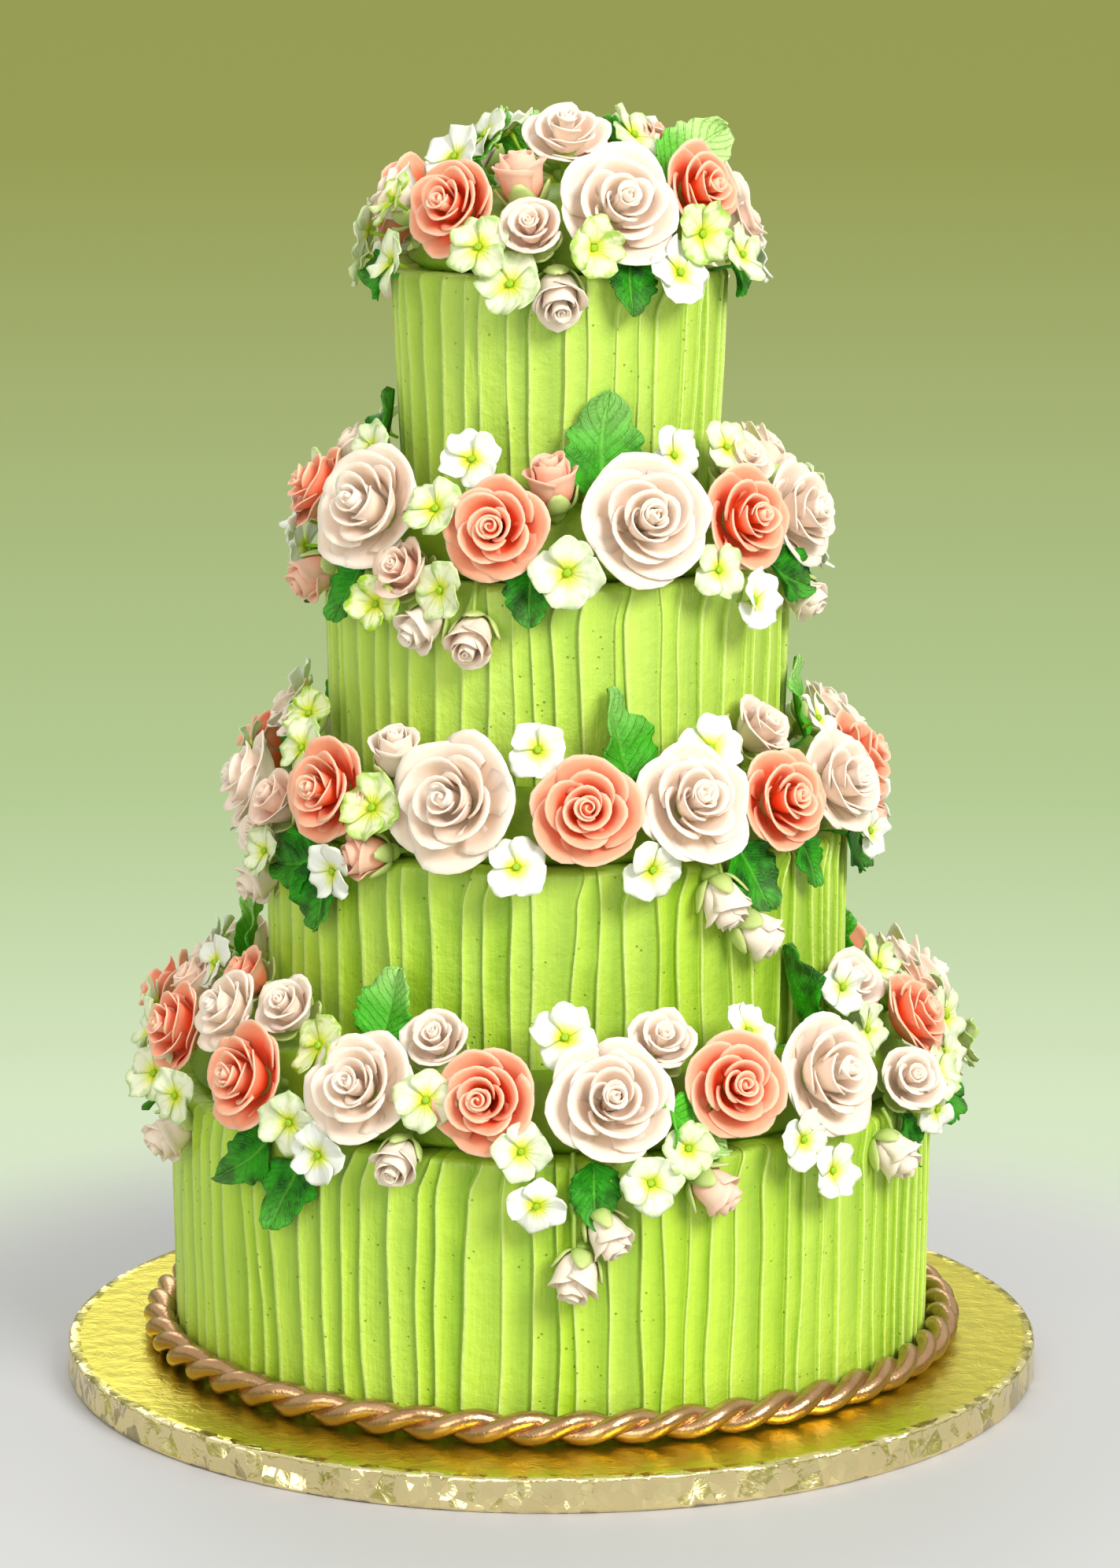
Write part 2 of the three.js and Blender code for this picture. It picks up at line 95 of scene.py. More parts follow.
# Small flowers are listed in runs of one kind. Blossoms have no lean, so their tone follows their size.
SPRAYS = [
    Spray(0, [
        ("coral", -70, 29, 39), ("ivory", -58, 42, 36), ("coral", -47, 22, 43), ("ivory", -27, 26, 45),
        ("coral", -9, 25, 41), ("ivory", 8, 25, 49), ("coral", 26, 27, 41), ("ivory", 42, 26, 49),
        ("coral", 68, 35, 38),
    ], [
        ("cup", (-48, 47, 26, 30, IVORY), (-68, 51, 23, 0, CORAL), (-18, 44, 26, 0, IVORY),
            (17, 44, 26, 0, IVORY), (60, 15, 27, 0, IVORY, -35), (63, 50, 26, 20, IVORY, -30)),
        ("nodding", (-69, -16, 27, 165, IVORY), (-21, -2, 24, 180, IVORY)),
        ("bud", (8, -29, 24, 150, IVORY), (3, -46, 25, -165, IVORY), (23, -14, 25, 130, PEACH)),
        ("nodding", (56, -16, 25, 165, IVORY)),
        ("blossom", (-73, 8, 25, TINGED), (-63, 6, 23, TINGED), (-36, 37, 27, LIME), (-37, 10, 25, TINGED),
            (-32, -1, 24, WHITE), (-17, 24, 24, TINGED), (-4, 7, 22, 0.4), (-2, -14, 22, WHITE),
            (13, -7, 25, 0.4), (18, 6, 23, 0.7), (2, 45, 26, 0.1), (31, 43, 25, WHITE),
            (57, 50, 23, WHITE), (54, 36, 23, TINGED), (76, 38, 23, TINGED), (73, 15, 23, 0.4),
            (66, -1, 22, WHITE), (35, 4, 23, 0.1), (40, -11, 23, 0.1), (-82, 21, 24, TINGED)),
        ("leaf", (-47, -10, 30, -130, DEEP), (-39, -20, 28, -160, DEEP), (-29, 50, 30, 10, 0.3),
            (6, -11, 25, 175, DEEP), (19, 12, 30, 130, 0.5, 40), (49, 50, 36, 0, DEEP, 55),
            (79, -6, 30, 110, DEEP), (62, -12, 22, 170, DEEP)),
        ("blossom", (81, 27, 25, 0.5), (85, 12, 24, 0.8)),
        ("cup", (86, 38, 26, 20, PEACH)),
        ("blossom", (74, 50, 24, 0.7), (67, 12, 23, TINGED)),
        ("cup", (-84, 40, 26, 0, 0.3)),
        ("blossom", (-79, 49, 24, WHITE)),
        ("leaf", (-88, 52, 32, -10, 0.2)),
    ], (8, 96, 272)),
    Spray(1, [
        ("ivory", -79, 20, 40), ("coral", -46, 26, 42), ("ivory", -19, 27, 53), ("coral", 5, 25, 43),
        ("ivory", 25, 26, 49), ("coral", 45, 23, 42, -13), ("ivory", 65, 24, 43, -15),
        ("coral", 82, 28, 40),
    ], [
        ("open bud", (-35, 45, 26, 20, IVORY)),
        ("cup", (-74, 47, 22, -20, IVORY), (-69, 3, 22, 60, IVORY), (50, 49, 26, 20, 0.1)),
        ("nodding", (-37, 3, 24, -110, 0.8), (-72, -20, 24, 165, IVORY)),
        ("bud", (31, -17, 26, 165, IVORY), (39, -30, 26, 130, IVORY)),
        ("nodding", (86, 2, 24, -160, 0.7)),
        ("blossom", (-34, 22, 27, 0.9), (-42, -4, 24, WHITE), (-60, 38, 25, 0.7), (-67, 49, 22, LIME),
            (-63, -4, 22, TINGED), (-4, 46, 24, WHITE), (-7, 3, 24, WHITE), (16, 2, 25, 0.1),
            (32, 44, 26, WHITE), (70, 46, 23, WHITE), (75, 0, 22, WHITE)),
        ("leaf", (-57, -6, 30, -105, DEEP), (-49, -16, 28, 180, DEEP), (-90, 38, 26, -50, DEEP),
            (14, 48, 38, -24, 0.2, 38), (38, -5, 28, 155, DEEP), (82, 50, 32, 0, 0.3),
            (79, -9, 28, 130, DEEP), (54, -5, 20, 160, DEEP)),
        ("cup", (-63, 18, 25, 0, 0.3)),
    ], (6, 96, 268)),
    Spray(2, [
        ("coral", -79, 31, 38), ("ivory", -49, 28, 51, 13), ("coral", -14, 23, 41), ("ivory", 20, 26, 51),
        ("coral", 47, 24, 42, -13), ("ivory", 74, 22, 43, -12),
    ], [
        ("open bud", (-2, 43, 28, -10, 0.8)),
        ("cup", (-36, 6, 25, -30, 0.3), (62, 45, 26, 30, 0.1, -25), (-90, 46, 22, -20, IVORY)),
        ("nodding", (-32, -18, 24, -150, IVORY), (-19, -22, 25, 180, 0.1), (-76, -6, 25, 160, 0.7),
            (76, -14, 23, -165, IVORY)),
        ("bud", (88, 40, 22, 60, 0.3)),
        ("blossom", (-24, 47, 24, WHITE), (-28, 29, 26, 0.7), (-25, -1, 25, 0.7), (-42, -9, 23, LIME),
            (2, 7, 28, 0.4), (33, 48, 23, WHITE), (36, 5, 23, 0.6), (46, -9, 25, WHITE),
            (56, 49, 22, TINGED), (-86, 17, 24, WHITE), (-64, 48, 22, TINGED)),
        ("leaf", (-6, -2, 24, 175, DEEP), (15, 49, 44, 8, 0.15), (66, -2, 28, 120, DEEP),
            (-82, 50, 36, 5, DEEP), (-56, -6, 26, -150, DEEP)),
        ("blossom", (-92, 32, 25, 0.7)),
    ], (4, 98, 262)),
    Spray(3, [
        ("coral", -38, 27, 40), ("ivory", 20, 28, 49), ("coral", 61, 33, 38, -15), ("ivory", 112, 26, 42),
        ("coral", 156, 26, 40), ("ivory", -158, 28, 46), ("coral", -115, 26, 39), ("ivory", 5, 54, 36),
    ], [
        ("cup", (-9, 20, 26, 0, 0.1)),
        ("open bud", (-18, 41, 28, -10, 0.7), (92, 50, 25, 0, 0.8, -60)),
        ("cup", (134, 12, 25, 0, IVORY), (-179, 14, 26, 0, 0.9), (-84, 30, 27, -40, IVORY),
            (178, 50, 27, 0, IVORY)),
        ("open bud", (0, -9, 28, 172, IVORY)),
        ("bud", (-120, -8, 24, 180, IVORY), (128, -9, 24, 180, IVORY)),
        ("blossom", (-63, 44, 26, WHITE), (-70, 27, 24, LIME), (-56, 4, 23, TINGED), (-24, 11, 26, 0.7),
            (-14, -3, 27, 0.6), (9, 12, 25, 0.9), (36, 1, 28, WHITE), (47, 16, 27, 0.9),
            (66, 6, 25, TINGED), (95, 4, 24, WHITE), (162, 6, 25, WHITE), (-160, 4, 25, TINGED),
            (-120, 10, 25, WHITE), (-150, 50, 24, WHITE), (120, 50, 24, TINGED), (-96, 4, 24, TINGED)),
        ("leaf", (-80, 49, 27, 8, 0.8, 12), (80, 39, 36, 78, PALE, -62, 10), (-82, -2, 24, -95, DEEP),
            (22, -3, 23, 190, DEEP), (84, 0, 26, 100, DEEP), (140, -3, 26, 170, DEEP),
            (-138, -3, 26, 190, DEEP)),
        ("cup", (86, 18, 26, 0, 0.2)),
        ("blossom", (88, 34, 26, 0.5), (133, 34, 26, WHITE)),
        ("cup", (150, 47, 26, 0, 0.7)),
        ("blossom", (180, 34, 27, 0.6), (-136, 30, 27, WHITE)),
        ("cup", (-118, 47, 26, 0, 0.1)),
        ("blossom", (-90, 14, 25, 0.5), (-138, 12, 25, LIME)),
        ("leaf", (205, 48, 32, 0, 0.3), (115, 36, 30, 0, 0.2)),
        ("blossom", (104, 48, 24, WHITE), (75, 52, 26, 0.6), (-75, 52, 25, 0.2)),
        ("cup", (158, 53, 26, 0, PEACH)),
        ("blossom", (-140, 52, 25, TINGED)),
        ("leaf", (-112, 50, 28, -60, 0.2), (122, 50, 28, 60, 0.2)),
    ], None),
]


# ---------------------------------------------------------------- where flowers stand
def outline_radius(spray, height):
    reach = TIERS[spray.tier].rim + OVERHANG
    if height <= 0:
        return reach
    if spray.tier == len(TIERS) - 1:
        return reach * math.sqrt(1 - (height / DOME) ** 2)
    wall = TIERS[spray.tier + 1].foot + PEAK_REACH
    return wall + (reach - wall) * math.sqrt(max(0.0, 1 - (height / PEAK) ** 2))


def outline_tilt(spray, height):
    if spray.tier == len(TIERS) - 1:
        return TOP_TILT["start"] + TOP_TILT["more"] * (height / DOME) ** TOP_TILT["power"]
    return min(LEDGE_TILT["most"], max(0.0, LEDGE_TILT["start"] + LEDGE_TILT["gain"] * height))


def place_of(spray, kind, azimuth, height):
    """The frame of a flower: its own +Z looks out of the cake and its own +Y is turned up."""
    around, tilt = math.radians(azimuth), math.radians(outline_tilt(spray, height))
    high, low = INSETS.get(kind, (0.0, 0.0))
    radius = outline_radius(spray, height) - (high if height > HIGH else low)
    outward = Vector((math.sin(around), -math.cos(around), 0))
    facing = outward * math.cos(tilt) + Vector((0, 0, math.sin(tilt)))
    right = Vector((math.cos(around), math.sin(around), 0))
    position = outward * radius + Vector((TIERS[spray.tier].shift, 0, LEVELS[spray.tier + 1] + height))
    basis = Matrix((right, facing.cross(right), facing)).transposed().to_4x4()
    return Matrix.Translation(position) @ basis


def back_of(roses, start, end):
    """The far side of a spray by the model's rule, with more small flowers between its roses."""
    step = (end - start) / roses
    large, small = [], []
    for i in range(roses):
        azimuth = start + (i + 0.5) * step
        gap = azimuth + 0.5 * step
        odd, third = i % 2, i % 3
        large.append(Rose("coral", azimuth, 24, 42) if odd else Rose("ivory", azimuth, 26, 49))
        if odd:
            small.append(Flower("blossom", azimuth, 48, 24, 0, WHITE))
        if i < roses - 1:
            small += [
                Flower("cup", gap, 42, 26, 0, 0.3 * third) if odd else Flower("leaf", gap, 46, 32, 0, 0.3),
                Flower("blossom", gap, 8, 25, 0, 0.35 * third) if third
                else Flower("cup", gap, 7, 25, 180, IVORY),
                Flower("leaf", gap, -8, 26, 165, DEEP) if odd else Flower("bud", gap, -14, 24, 180, 0.1),
                Flower("blossom", gap, 25, 25, 0, 0.4 * third)]
    for gap in (start - 3, end - 4):
        small += [Flower("blossom", gap, 25, 25, 0, TINGED), Flower("cup", gap + 1, 45, 25, 0, IVORY),
                  Flower("blossom", gap + 2, 3, 24, 0, WHITE), Flower("leaf", gap - 2, -8, 26, 170, DEEP)]
    return large, small


def flowers_of(spray):
    """All roses and all small flowers of a spray, those of its far side last."""
    large, small = [Rose(*row) for row in spray.roses], []
    for kind, *rows in spray.small:
        for azimuth, height, size, *rest in rows:
            lean = [0] if kind == "blossom" else []
            small.append(Flower(kind, azimuth, height, size, *lean, *rest))
    behind = back_of(*spray.back) if spray.back else ([], [])
    return large + behind[0], small + behind[1]


def add_object(name, data, finish=None):
    """Puts a mesh, a lamp or a camera into the scene."""
    made = bpy.data.objects.new(name, data)
    if finish:
        data.materials.append(finish)
    bpy.context.scene.collection.objects.link(made)
    return made


# ---------------------------------------------------------------- node trees
def operator(operation, reflected=False):
    def apply(self, other):
        return self.graph.math(operation, *((other, self) if reflected else (self, other)))
    return apply


class Wire:
    """An output in a node tree. Operators on it add Math nodes, so that a formula reads as one."""

    def __init__(self, graph, socket):
        self.graph, self.socket = graph, socket

    def __getitem__(self, name):
        return Wire(self.graph, self.socket.node.outputs[name])

    __add__ = __radd__ = operator("ADD")
    __mul__ = __rmul__ = operator("MULTIPLY")
    __sub__, __rsub__ = operator("SUBTRACT"), operator("SUBTRACT", True)
    __truediv__, __pow__ = operator("DIVIDE"), operator("POWER")

    def __abs__(self):
        return self.graph.math("ABSOLUTE", self)


class Graph:
    """A node tree under construction."""

    def __init__(self, tree):
        self.tree = tree

    def set(self, socket, value):
        if isinstance(value, Wire):
            self.tree.links.new(value.socket, socket)
        else:
            socket.default_value = value

    def node(self, kind, sockets=None, **settings):
        """Adds a node with the values or wires of its sockets, and with its settings."""
        made = self.tree.nodes.new(kind)
        for name, value in settings.items():
            setattr(made, name, value)
        for name, value in (sockets or {}).items():
            self.set(made.inputs[name], value)
        return Wire(self, made.outputs[0]) if made.outputs else made

    def math(self, operation, *values):
        return self.node("ShaderNodeMath", dict(enumerate(values)), operation=operation)

    def vector(self, operation, *values):
        return self.node("ShaderNodeVectorMath", dict(enumerate(values)), operation=operation)

    def clamp(self, value):
        return self.node("ShaderNodeClamp", {"Value": value})

    def smooth(self, value, low, high, start=0.0, end=1.0):
        sockets = {"Value": value, "From Min": low, "From Max": high, "To Min": start, "To Max": end}
        return self.node("ShaderNodeMapRange", sockets, interpolation_type="SMOOTHSTEP")

    def noise(self, place, scale, detail=2.0, roughness=0.5, distortion=0.0):
        return self.node("ShaderNodeTexNoise", {
            "Vector": place, "Scale": scale, "Detail": detail, "Roughness": roughness,
            "Distortion": distortion})["Fac"]

    def combine(self, x, y, z):
        return self.node("ShaderNodeCombineXYZ", {"X": x, "Y": y, "Z": z})

    def polar(self, turn, out):
        """The two level coordinates of a point at an angle and a distance."""
        return self.math("COSINE", turn) * out, self.math("SINE", turn) * out


class Form(Graph):
    """A Geometry Nodes tree with named inputs: numbers, those of another kind, and the finish."""

    def __init__(self, name, numbers, **others):
        super().__init__(bpy.data.node_groups.new(name, "GeometryNodeTree"))
        self.identifiers = {}
        floats = dict.fromkeys(numbers.split(), "Float")
        for label, kind in dict(Geometry="Geometry", **floats, **others, Finish="Material").items():
            made = self.tree.interface.new_socket(label, in_out="INPUT", socket_type="NodeSocket" + kind)
            self.identifiers[label] = made.identifier
        self.tree.interface.new_socket("Geometry", in_out="OUTPUT", socket_type="NodeSocketGeometry")
        self.given = self.node("NodeGroupInput")

    def store(self, geometry, **values):
        """Keeps values on the points of the mesh, for its finish to read."""
        for name, value in values.items():
            geometry = self.node("GeometryNodeStoreNamedAttribute", {
                "Geometry": geometry, "Name": name, "Value": value}, data_type="FLOAT", domain="POINT")
        return geometry

    def close(self, geometry):
        """Ends the tree: smooth faces, real instances and the finish."""
        shaded = self.node("GeometryNodeSetShadeSmooth", {"Geometry": geometry})
        real = self.node("GeometryNodeRealizeInstances", {"Geometry": shaded})
        done = self.node("GeometryNodeSetMaterial", {"Geometry": real, "Material": self.given["Finish"]})
        self.node("NodeGroupOutput", {"Geometry": done})

    def shape(self, name, values, mesh=None):
        """Runs the tree and returns a plain piece."""
        piece = add_object(name, mesh or bpy.data.meshes.new(name))
        modifier = piece.modifiers.new("form", "NODES")
        modifier.node_group = self.tree
        for label, value in values.items():
            modifier[self.identifiers[label]] = value
        bpy.context.view_layer.update()
        graph = bpy.context.evaluated_depsgraph_get()
        made = bpy.data.meshes.new_from_object(
            piece.evaluated_get(graph), preserve_all_data_layers=True, depsgraph=graph)
        piece.modifiers.clear()
        piece.data = made
        made.name = name
        return piece


# ---------------------------------------------------------------- finishes
def tint(red, green, blue):
    """An sRGB colour in 0 to 255 as the linear colour that a shader takes."""
    linear = [c / 12.92 if c <= 0.04045 else ((c + 0.055) / 1.055) ** 2.4
              for c in (red / 255, green / 255, blue / 255)]
    return (*linear, 1.0)


class Finish(Graph):
    """A material and its one shader. Glow is how much light spreads inside, how far in metres, and in which
    shares of red, green and blue."""

    def __init__(self, name, glow=(), **constants):
        self.material = bpy.data.materials.new(name)
        self.material.use_nodes = True
        super().__init__(self.material.node_tree)
        self.shader = self.tree.nodes["Principled BSDF"]
        for label, value in zip(("Weight", "Scale", "Radius"), glow):
            self.feed("Subsurface " + label, value)
        for label, value in constants.items():
            self.feed(label.replace("_", " "), value)
        self.place = self.node("ShaderNodeTexCoord")["Object"]

    def values(self, *names):
        """Values stored on the mesh."""
        return [self.node("ShaderNodeAttribute", attribute_name=name)["Fac"] for name in names]

    def grain(self, scale, *shape):
        """Noise over the surface, of a scale, detail, roughness and distortion."""
        return self.noise(self.place, scale, *shape)

    def stretched(self, x, y, z):
        return self.vector("MULTIPLY", self.place, (x, y, z))

    def paint(self, colour, *coats):
        """A colour under coats of others, each a (share, colour) pair. Colours are sRGB, 0 to 255, or
        wires."""
        for share, coat in coats:
            made = self.node("ShaderNodeMix", data_type="RGBA", clamp_factor=True).socket.node
            named = {socket.identifier: socket for socket in (*made.inputs, *made.outputs)}
            self.set(named["Factor_Float"], share)
            for name, value in {"A_Color": colour, "B_Color": coat}.items():
                self.set(named[name], value if isinstance(value, Wire) else tint(*value))
            colour = Wire(self, named["Result_Color"])
        return colour

    def cells(self, place, scale, feature="F1", **sockets):
        """Cells round scattered points: how far each spot is from the nearest point or edge."""
        sockets.update(Vector=place, Scale=scale)
        return self.node("ShaderNodeTexVoronoi", sockets, feature=feature)["Distance"]

    def feed(self, label, value):
        self.set(self.shader.inputs[label], value)

    def done(self, colour, roughness, *bumps):
        """Feeds the shader and returns the material. Each bump is a (height, distance in mm) pair, laid over
        the one before it."""
        normal = None
        for height, distance in bumps:
            sockets = {"Height": height, "Distance": distance * MM, "Strength": 1.0}
            if normal:
                sockets["Normal"] = normal
            normal = self.node("ShaderNodeBump", sockets)
        for label, wire in {"Base Color": colour, "Roughness": roughness, "Normal": normal}.items():
            self.feed(label, wire)
        return self.material


LIME_GLOW = (0.6, 1.0, 0.25)  # the shares in which light spreads inside the icing
FACETS = ((75.0, 7.0), (170.0, 3.2))  # flat creases of the foil: how many to the metre, and how deep in mm
FLOOR_FADE = (0.44, 0.25)  # how far out the floor has gone, and how far out it starts to, in metres


def buttercream():
    """Satin icing: painted highlights on the lips of the strokes, painted shade in the hollows between them.
    """
    finish = Finish("lime_buttercream", (0.05, 0.003, LIME_GLOW), Specular_IOR_Level=0.6)
    hollow, stroke, lip, face, pale = finish.values("hollow", "stroke", "lip", "face", "pale")
    cloud = finish.grain(22.0, 3.0)
    streaks = finish.noise(finish.stretched(1.0, 1.0, 0.06), 700.0, 3.0, 0.6)
    # painted shade where the next lip shadows each stroke and in the hollows; cloud and streaks are random
    # tone
    shade = face ** 1.4 * 0.95 + hollow ** 2.0 * 0.65 + cloud * 0.7 + streaks * 0.6 - 0.76
    pores, sparse = finish.cells(finish.place, 260.0), finish.grain(60.0, 1.0)
    # the pits are painted darker: painted shade in these tiny recesses
    pits = finish.smooth(pores, 0.16, 0.05) * finish.smooth(sparse, 0.5, 0.6)
    # stroke is a random tone for each stroke; pale is the painted sheen of the upper tiers
    body = finish.paint(
        (184, 218, 56), (shade, (130, 172, 0)), (stroke * 0.2 + pale * 0.5, (204, 226, 124)),
        # painted highlight along the lips of the strokes
        (lip * 0.7, (218, 234, 158)), (pits * 0.5, (84, 124, 0)))
    lumps, fine = finish.grain(170.0, 4.0, 0.6), finish.grain(1100.0, 2.0)
    return finish.done(body, 0.31 + streaks * 0.16 + pits * 0.2,
                       (streaks, 0.32), (lumps, 0.85), (fine, 0.1), (1 - pits, 0.5))


def mound_icing():
    finish = Finish("mound_icing", (0.1, 0.004, LIME_GLOW))
    cloud = finish.grain(60.0, 4.0)
    # darker than the icing of the tiers: painted shade for the gaps between the flowers
    body = finish.paint((112, 148, 14), (cloud, (146, 178, 32)))
    return finish.done(body, 0.45 + cloud * 0.2, (finish.grain(300.0, 4.0), 0.6))


def petal_paste(name, body, fold_shade_and_bounce, creases):
    """Matt sugar paste, with painted shade and painted bounced light down in the folds of a rose. Body, fold
    colour and creases are functions of the finish."""
    finish = Finish(name, (0.25, 0.0015, (1.0, 0.6, 0.4)), Specular_IOR_Level=0.2)
    along, layer = finish.values("along", "layer")
    cloud = finish.grain(90.0, 3.0)
    # painted shade and bounced light: the fold colour, strongest at the base of each petal and on the inner
    # rings
    fold = finish.smooth(along, 0.97 - layer * 0.2, 0.6 - layer * 0.25) * (1.15 - layer * 0.35)
    colour = finish.paint(body(finish), (fold + cloud * 0.3 - 0.15, fold_shade_and_bounce(finish)))
    return finish.done(colour, 0.52 + cloud * 0.14, (finish.grain(1500.0, 2.0), 0.05), creases(finish))


def rose_sugar(name, rim, petal, fold_shade_and_bounce):
    """The paste of the large roses, with a painted highlight along the rim of a petal."""
    return petal_paste(
        name,
        # painted highlight: the rim colour along the last stretch of each petal
        lambda finish: finish.paint(rim, (finish.smooth(*finish.values("along"), 0.99, 0.88), petal)),
        lambda finish: fold_shade_and_bounce,
        lambda finish: (finish.noise(finish.stretched(1.0, 1.0, 0.4), 240.0, 2.0), 0.14))


def small_sugar():
    """The paste of the small roses and buds, from ivory to coral by their tone."""
    return petal_paste(
        "small_rose_sugar",
        lambda finish: finish.paint((239, 222, 210), (*finish.values("tone"), (246, 184, 158))),
        # the fold colour, painted shade and bounced light, from ivory to coral
        lambda finish: finish.paint((255, 233, 216), (*finish.values("tone"), (248, 122, 70))),
        lambda finish: (finish.grain(260.0, 2.0), 0.12))


def blossom_sugar():
    """Thin paste petals, white to lime by their tone, greenest at the edge and yellow-green at the throat."""
    finish = Finish("blossom_sugar", (0.2, 0.003, (0.8, 0.9, 0.5)), Specular_IOR_Level=0.3)
    along, across, tone, core = finish.values("along", "across", "tone", "layer")
    cloud = finish.grain(140.0, 3.0)
    margin = finish.math("MAXIMUM", finish.smooth(along, 0.62, 1.0), finish.smooth(abs(across), 0.5, 1.0))
    patches = finish.grain(210.0, 2.0, 0.5, 0.8)
    white = finish.paint((232, 234, 230), (tone, (228, 233, 184)))
    green = finish.paint((228, 234, 220), (tone, (150, 190, 34)))
    throat = finish.smooth(along + cloud * 0.3, 0.7, 0.24)
    crease = finish.smooth(abs(across + cloud * 0.2 - 0.1), 0.13, 0.02) * finish.smooth(along, 1.0, 0.4)
    body = finish.paint(
        white, (margin * 1.1 + patches * 3.2 - 1.85, green), (crease * tone * 0.55, (178, 204, 60)),
        (throat, (212, 222, 48)), (core, (150, 190, 40)))
    veins = finish.math("SINE", across * 17.0) * finish.smooth(along, 1.0, 0.2)
    return finish.done(body, 0.5 + cloud * 0.15, (veins, 0.06), (finish.grain(700.0, 2.0), 0.08))


def leaf_sugar():
    """Gum paste leaves with pressed veins: deep green, or paler by their tone, and paler at the tip."""
    finish = Finish("leaf_sugar", (0.08, 0.003, (0.3, 1.0, 0.3)), Specular_IOR_Level=0.22)
    along, across, tone = finish.values("along", "across", "tone")
    cloud = finish.grain(120.0, 3.0)
    side = abs(across)
    branch = finish.math("SINE", (along * 9.0 - side * 2.6) * 2 * math.pi)
    veins = finish.math("MAXIMUM", finish.smooth(branch, 0.72, 1.0), finish.smooth(side, 0.14, 0.02))
    pale = finish.smooth(along + cloud * 0.3, 0.45, 1.25) * (0.12 + tone * 2.0) + tone * 0.2
    body = finish.paint(
        (2, 74, 0), (finish.smooth(cloud, 0.32, 0.66), (36, 152, 4)), (tone * 2.5, (62, 184, 0)),
        (pale, (186, 226, 140)), (veins * 0.2, (140, 212, 84)))
    net = finish.cells(finish.place, 420.0, "DISTANCE_TO_EDGE")
    return finish.done(body, 0.38 + cloud * 0.2, (finish.smooth(net, 0.0, 0.3), 0.18), (1 - veins, 0.65))


def calyx_sugar():
    finish = Finish("calyx_sugar", (0.12, 0.003, (0.5, 1.0, 0.3)))
    cloud = finish.grain(160.0, 3.0)
    along, = finish.values("along")
    body = finish.paint((164, 190, 84), (along, (214, 224, 150)), (cloud * 0.5, (110, 150, 60)))
    return finish.done(body, 0.5 + cloud * 0.15, (finish.grain(800.0, 2.0), 0.08))


def rope_gold():
    finish = Finish("rope_gold", Metallic=0.95, Specular_IOR_Level=0.5)
    cloud, fine = finish.grain(70.0, 3.0), finish.grain(900.0, 3.0)
    body = finish.paint((216, 176, 134), (cloud, (158, 114, 76)))
    return finish.done(body, 0.16 + fine * 0.16, (fine, 0.12), (finish.grain(180.0, 3.0), 0.35))


def foil_gold():
    """Embossed foil: a small leafy pattern on the top, folds and creases on the side."""
    finish = Finish("foil_gold", Metallic=1.0)
    rim, = finish.values("rim")
    above = finish.vector("ADD", finish.place, (0.0, 0.0, 0.3))
    leafy = finish.cells(above, 120.0, "SMOOTH_F1", Smoothness=0.3)
    swirl, wrinkle = finish.grain(130.0, 2.0, 0.5, 2.5), finish.grain(35.0, 4.0)
    body = finish.paint((228, 214, 80), (finish.grain(14.0, 3.0), (206, 193, 48)), (rim, (238, 222, 168)))
    bumps = [(leafy, 0.3), (swirl, 0.3), (wrinkle, 0.3)]
    for scale, distance in FACETS:
        spread = finish.stretched(scale, scale, scale * 0.8)
        cell = finish.node("ShaderNodeTexVoronoi", {"Vector": spread, "Scale": 1.0})
        slope = finish.vector("SUBTRACT", cell["Color"], (0.5, 0.5, 0.5))
        away = finish.vector("SUBTRACT", spread, cell["Position"])
        bumps.append((finish.vector("DOT_PRODUCT", slope, away)["Value"] * (rim * 0.98 + 0.02), distance))
    return finish.done(body, 0.26 + swirl * 0.12 - rim * 0.12, *bumps)


def plain_floor():
    """A pale table top that fades out into its surround."""
    finish = Finish("pale_floor", Roughness=0.55, Specular_IOR_Level=0.2)
    finish.feed("Base Color", finish.paint((180, 179, 184), (finish.grain(3.0, 2.0), (186, 185, 190))))
    away = finish.vector("LENGTH", finish.place)["Value"]
    finish.feed("Alpha", finish.smooth(away, *FLOOR_FADE))
    return finish.material


